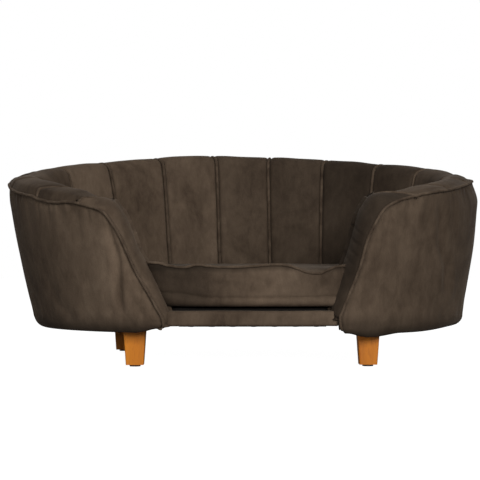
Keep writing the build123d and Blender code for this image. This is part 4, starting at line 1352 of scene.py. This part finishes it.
# Deck pad: cloth over thin padding, under the cushion. Each level has its share of the outline, its inset
# from it and its share of the height
deckPad = {
    "around": 260, "hollow": 0.0012, "hollowSize": 0.08,
    "levels": (
        (0.02, 0, 0), (0.6, 0, 0), (0.97, 0, 0), (1, 0, 0.0004), (1, 0, 0.5),
        (1, 0.0006, 1 - 0.0050 / 0.0174), (1, 0.0015, 0.93), (1, 0.0050, 0.995),
        (0.93, 0, 1), (0.6, 0, 1), (0.3, 0, 1), (0.02, 0, 1)),
}


def addDeckPad():
    look = deckPad
    low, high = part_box("deck_pad")
    ring = outlineOf("deck_pad", look["around"])
    centre = Vector((0, seatCushion["pivotY"], 0))
    direction = math.copysign(1, areaOf(ring))
    verts = []
    for share, inset, level in look["levels"]:
        for point in insetOf(ring, inset * direction) if inset else ring:
            spot = centre + (point - centre) * share
            hollow = softNoise(spot, look["hollowSize"], 51) * look["hollow"] if level == 1 else 0
            verts.append(Vector((spot.x, spot.y, mix(low[2], high[2], level) - max(hollow, 0))))
    piece = addObject("deckPad", verts, skinFaces(len(look["levels"]), look["around"]), deckCloth)
    finishPiece(piece, tubBody, "deck_cloth", "deck_pad")


addDeckPad()


# What repeats along a line: staples and zip teeth
def repeatTree(name):
    tree = bpy.data.node_groups.new(name, "GeometryNodeTree")
    sockets = (
        ("Geometry", "Geometry"), ("Spacing", "Float"), ("Piece Size", "Vector"), ("Unevenness", "Float"),
        ("Seed", "Int"), ("Finish", "Material"))
    for label, kind in sockets:
        tree.interface.new_socket(label, in_out="INPUT", socket_type="NodeSocket" + kind)
    tree.interface.new_socket("Geometry", in_out="OUTPUT", socket_type="NodeSocketGeometry")
    source = addNode(tree, "NodeGroupInput", -900, 0)
    toCurve = addNode(tree, "GeometryNodeMeshToCurve", -700, 100, from_Mesh=(source, "Geometry"))
    evenly = addNode(tree, "GeometryNodeResampleCurve", -520, 100, mode="LENGTH",
                     from_Curve=(toCurve, "Curve"), from_Length=(source, "Spacing"))
    tangent = addNode(tree, "GeometryNodeInputTangent", -700, -120)
    turned = addNode(tree, "FunctionNodeAlignRotationToVector", -520, -120, axis="X",
                     from_Vector=(tangent, "Tangent"))
    bead = addNode(tree, "GeometryNodeMeshUVSphere", -700, -300, in_Segments=8, in_Rings=5, in_Radius=0.5)
    shaped = addNode(tree, "GeometryNodeTransform", -520, -300, from_Geometry=(bead, "Mesh"),
                     from_Scale=(source, "Piece Size"))
    uneven = (source, "Unevenness")
    smallest = addNode(tree, "ShaderNodeMath", -700, -480, operation="SUBTRACT", in_0=1.0, from_1=uneven)
    largest = addNode(tree, "ShaderNodeMath", -700, -640, operation="ADD", in_0=1.0, from_1=uneven)
    sizes = addNode(tree, "FunctionNodeRandomValue", -520, -520, data_type="FLOAT", from_2=(smallest, 0),
                    from_3=(largest, 0), from_Seed=(source, "Seed"))
    onPoints = addNode(tree, "GeometryNodeInstanceOnPoints", -300, 0, from_Points=(evenly, "Curve"),
                     from_Instance=(shaped, "Geometry"), from_Rotation=(turned, "Rotation"),
                     from_Scale=(sizes, 1))
    real = addNode(tree, "GeometryNodeRealizeInstances", -120, 0, from_Geometry=(onPoints, "Instances"))
    finished = addNode(tree, "GeometryNodeSetMaterial", 60, 0, from_Geometry=(real, "Geometry"),
                       from_Material=(source, "Finish"))
    addNode(tree, "NodeGroupOutput", 240, 0, from_Geometry=(finished, "Geometry"))
    return tree


alongLine = repeatTree("alongLine")


def repeatAlong(name, paths, isLoop, look, material):
    verts, edges = [], []
    for path in paths:
        start = len(verts)
        verts += [tuple(point) for point in path]
        edges += [(start + place, start + place + 1) for place in range(len(path) - 1)]
        if isLoop:
            edges.append((start + len(path) - 1, start))
    line = bpy.data.meshes.new(name + "Line")
    line.from_pydata(verts, edges, [])
    carrier = placed(name + "Line", line)
    modifier = carrier.modifiers.new("repeat", "NODES")
    modifier.node_group = alongLine
    values = {"Spacing": look["spacing"], "Piece Size": look["size"], "Unevenness": look["uneven"],
              "Seed": look["seed"], "Finish": material}
    for socket in alongLine.interface.items_tree:
        if socket.in_out == "INPUT" and socket.name in values:
            modifier[socket.identifier] = values[socket.name]
    depsgraph = bpy.context.evaluated_depsgraph_get()
    mesh = bpy.data.meshes.new_from_object(carrier.evaluated_get(depsgraph))
    carrier.modifiers.remove(modifier)
    bpy.data.objects.remove(carrier)
    mesh.name = name
    for polygon in mesh.polygons:
        polygon.use_smooth = True
    return placed(name, mesh)


# Dust cover: thin black cloth stapled under the base
dustCover = {
    "around": 300, "thickness": 0.0010, "sag": 0.0012, "wave": 0.0006, "waveSize": 0.09, "drop": 0.0001,
    "stapleInset": 0.008, "stapleDrop": 0.0005,
    "shares": (1, 0.985, 0.95, 0.88, 0.75, 0.6, 0.45, 0.3, 0.15, 0.02),
}
stapleLook = {"spacing": 0.034, "size": (0.0100, 0.0014, 0.0010), "uneven": 0.04, "seed": 7}


def addDustCover():
    look = dustCover
    low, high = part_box("dust_cover")
    legs = [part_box(name) for name in nodes if name.startswith("leg_") and name != "leg_glides"]
    ring = outlineOf("dust_cover", look["around"], False, legs)
    area = areaOf(ring)
    centre = Vector((0, seatCushion["pivotY"], 0))
    shares = look["shares"]
    verts = []
    for depth in (0, look["thickness"]):
        for share in shares if depth else shares[::-1]:
            for point in ring:
                spot = centre + (point - centre) * share
                wave = max(softNoise(spot, look["waveSize"], 61), 0) * look["wave"] * (1 - share)
                sag = look["sag"] * (1 - share ** 2) + wave
                verts.append(Vector((spot.x, spot.y, high[2] - look["drop"] - sag - depth)))
    piece = addObject("dustCover", verts, skinFaces(2 * len(shares), look["around"]), dustCloth)
    finishPiece(piece, tubBody, "dust_cloth", "dust_cover")
    inset = insetOf(ring, look["stapleInset"] * math.copysign(1, area))
    bottom = high[2] - look["thickness"] - look["stapleDrop"]
    path = [Vector((point.x, point.y, bottom)) for point in inset]
    staples = repeatAlong("dustStaples", [path], True, stapleLook, zincSteel)
    finishPiece(staples, tubBody, "zinc_steel")


addDustCover()
print("deck pad and dust cover made")


# Teeth of the cushion's zip, in two rows along the tape
zipTeeth = {"spacing": 0.0021, "size": (0.0014, 0.0009, 0.0026), "uneven": 0.0, "seed": 3, "steps": 200,
            "proud": 0.0002, "endTurn": 0.004, "rowLift": 0.0011, "stagger": 0.25}


def addZipTeeth():
    look = zipTeeth
    low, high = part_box("zip_tape")
    centre = Vector((0, seatCushion["zipY"], 0))
    radius = high[1] - centre.y + look["proud"]
    reach = math.asin(high[0] / radius) - look["endTurn"]
    rows = []
    for row in (-1, 1):
        path = []
        for step in range(look["steps"]):
            turn = mix(-reach, reach, step / (look["steps"] - 1))
            turn += row * look["stagger"] * look["spacing"] / radius
            path.append(Vector((radius * math.sin(turn), centre.y + radius * math.cos(turn),
                                (low[2] + high[2]) / 2 + row * look["rowLift"])))
        rows.append(path)
    teeth = repeatAlong("zipTeeth", rows, False, look, zipNylon)
    finishPiece(teeth, cushionBody, "zip_nylon")


addZipTeeth()
print("zip teeth made")


# Construction pieces that keep their CAD shape
finishes = {
    "plywood": plywood, "leg_wood": legWood, "zinc_steel": zincSteel, "deck_cloth": deckCloth,
    "dust_cloth": dustCloth, "zip_cloth": zipCloth, "zip_nylon": zipNylon, "glide_felt": gluedFelt,
}
for entry in frame["record"]["subparts"]:
    if entry["material_slot"] in finishes:
        node = nodes[entry["node"]]
        node.data.materials.clear()
        node.data.materials.append(finishes[entry["material_slot"]])
print("construction pieces finished")

scene = bpy.context.scene
scene.view_settings.view_transform = "Standard"

# Camera, floor and light
cameraData = bpy.data.cameras.new("photoCamera")
cameraData.lens = cameraFit["lens"]
cameraData.sensor_width = cameraFit["sensor"]
cameraData.shift_y = cameraFit["shiftY"]
camera = placed("photoCamera", cameraData)
camera.location = (cameraFit["x"], cameraFit["y"], cameraFit["height"])
camera.rotation_euler = (math.pi / 2, 0, -math.radians(cameraFit["turn"]))
scene.camera = camera


# Soft lamps: where each stands, its width and height in metres, and its power in watts
lamps = {
    "keySoftbox": {"place": (0.75, -3.0, 1.0), "size": (1.1, 0.9), "power": 73},
    "fillSoftbox": {"place": (-1.7, -2.4, 0.6), "size": (0.9, 0.7), "power": 18},
    "topSoftbox": {"place": (0.2, -0.2, 2.4), "size": (1.6, 1.2), "power": 7},
}
lampTarget = Vector((0, 0, 0.2))
for name, look in lamps.items():
    data = bpy.data.lights.new(name, "AREA")
    data.shape = "RECTANGLE"
    data.size, data.size_y = look["size"]
    data.energy = look["power"]
    lamp = placed(name, data)
    lamp.location = look["place"]
    lamp.rotation_euler = (lampTarget - Vector(look["place"])).to_track_quat("-Z", "Y").to_euler()

# The object is lit by a dim room, and every ray that looks past it sees white
roomLook = {"colour": (0.9, 0.9, 0.9, 1), "strength": 0.12, "white": (1, 1, 1, 1)}
world = bpy.data.worlds.new("paleRoom")
scene.world = world
world.use_nodes = True
worldTree = world.node_tree
backdrop = setNode(worldTree, worldTree.nodes["Background"], in_Color=roomLook["colour"],
                   in_Strength=roomLook["strength"])
whiteBack = addNode(worldTree, "ShaderNodeBackground", -100, -150, in_Color=roomLook["white"],
                    in_Strength=1.0)
seenBy = addNode(worldTree, "ShaderNodeLightPath", -600, 200)
seenByGlass = addNode(worldTree, "ShaderNodeMath", -400, 100, operation="MAXIMUM",
                      from_0=(seenBy, "Is Glossy Ray"), from_1=(seenBy, "Is Transmission Ray"))
seenByAny = addNode(worldTree, "ShaderNodeMath", -250, 200, operation="MAXIMUM",
                    from_0=(seenBy, "Is Camera Ray"), from_1=(seenByGlass, 0))
worldMix = addNode(worldTree, "ShaderNodeMixShader", 100, 0, from_Fac=(seenByAny, 0), from_1=(backdrop, 0),
                   from_2=(whiteBack, 0))
setNode(worldTree, worldTree.nodes["World Output"], from_Surface=(worldMix, 0))

# The floor takes a faint shadow, is lifted to white for the camera, and is clear from below
floorLook = {"colour": (0.22, 0.22, 0.22, 1), "roughness": 0.9, "gloss": 0.1, "lift": 0.985, "half": 6}
floorMaterial, floorTree, floorShader = newMaterial(
    "paleFloor", in_Base_Color=floorLook["colour"], in_Roughness=floorLook["roughness"],
    in_Specular_IOR_Level=floorLook["gloss"])
floorSeen = addNode(floorTree, "ShaderNodeLightPath", -300, -300)
lift = addNode(floorTree, "ShaderNodeMath", -100, -300, operation="MULTIPLY", in_1=floorLook["lift"],
               from_0=(floorSeen, "Is Camera Ray"))
glow = addNode(floorTree, "ShaderNodeEmission", 0, -300, in_Color=roomLook["white"], from_Strength=(lift, 0))
floorSum = addNode(floorTree, "ShaderNodeAddShader", 200, 0, from_0=(floorShader, 0), from_1=(glow, 0))
floorSide = addNode(floorTree, "ShaderNodeNewGeometry", 0, 300)
floorClear = addNode(floorTree, "ShaderNodeBsdfTransparent", 200, -200)
floorMix = addNode(floorTree, "ShaderNodeMixShader", 400, 0, from_Fac=(floorSide, "Backfacing"),
                   from_1=(floorSum, 0), from_2=(floorClear, 0))
setNode(floorTree, floorTree.nodes["Material Output"], from_Surface=(floorMix, 0))
half = floorLook["half"]
floor = addObject("studioFloor", [(-half, -half, 0), (half, -half, 0), (half, half, 0), (-half, half, 0)],
                  [(0, 1, 2, 3)], floorMaterial, False)
print("stage made")
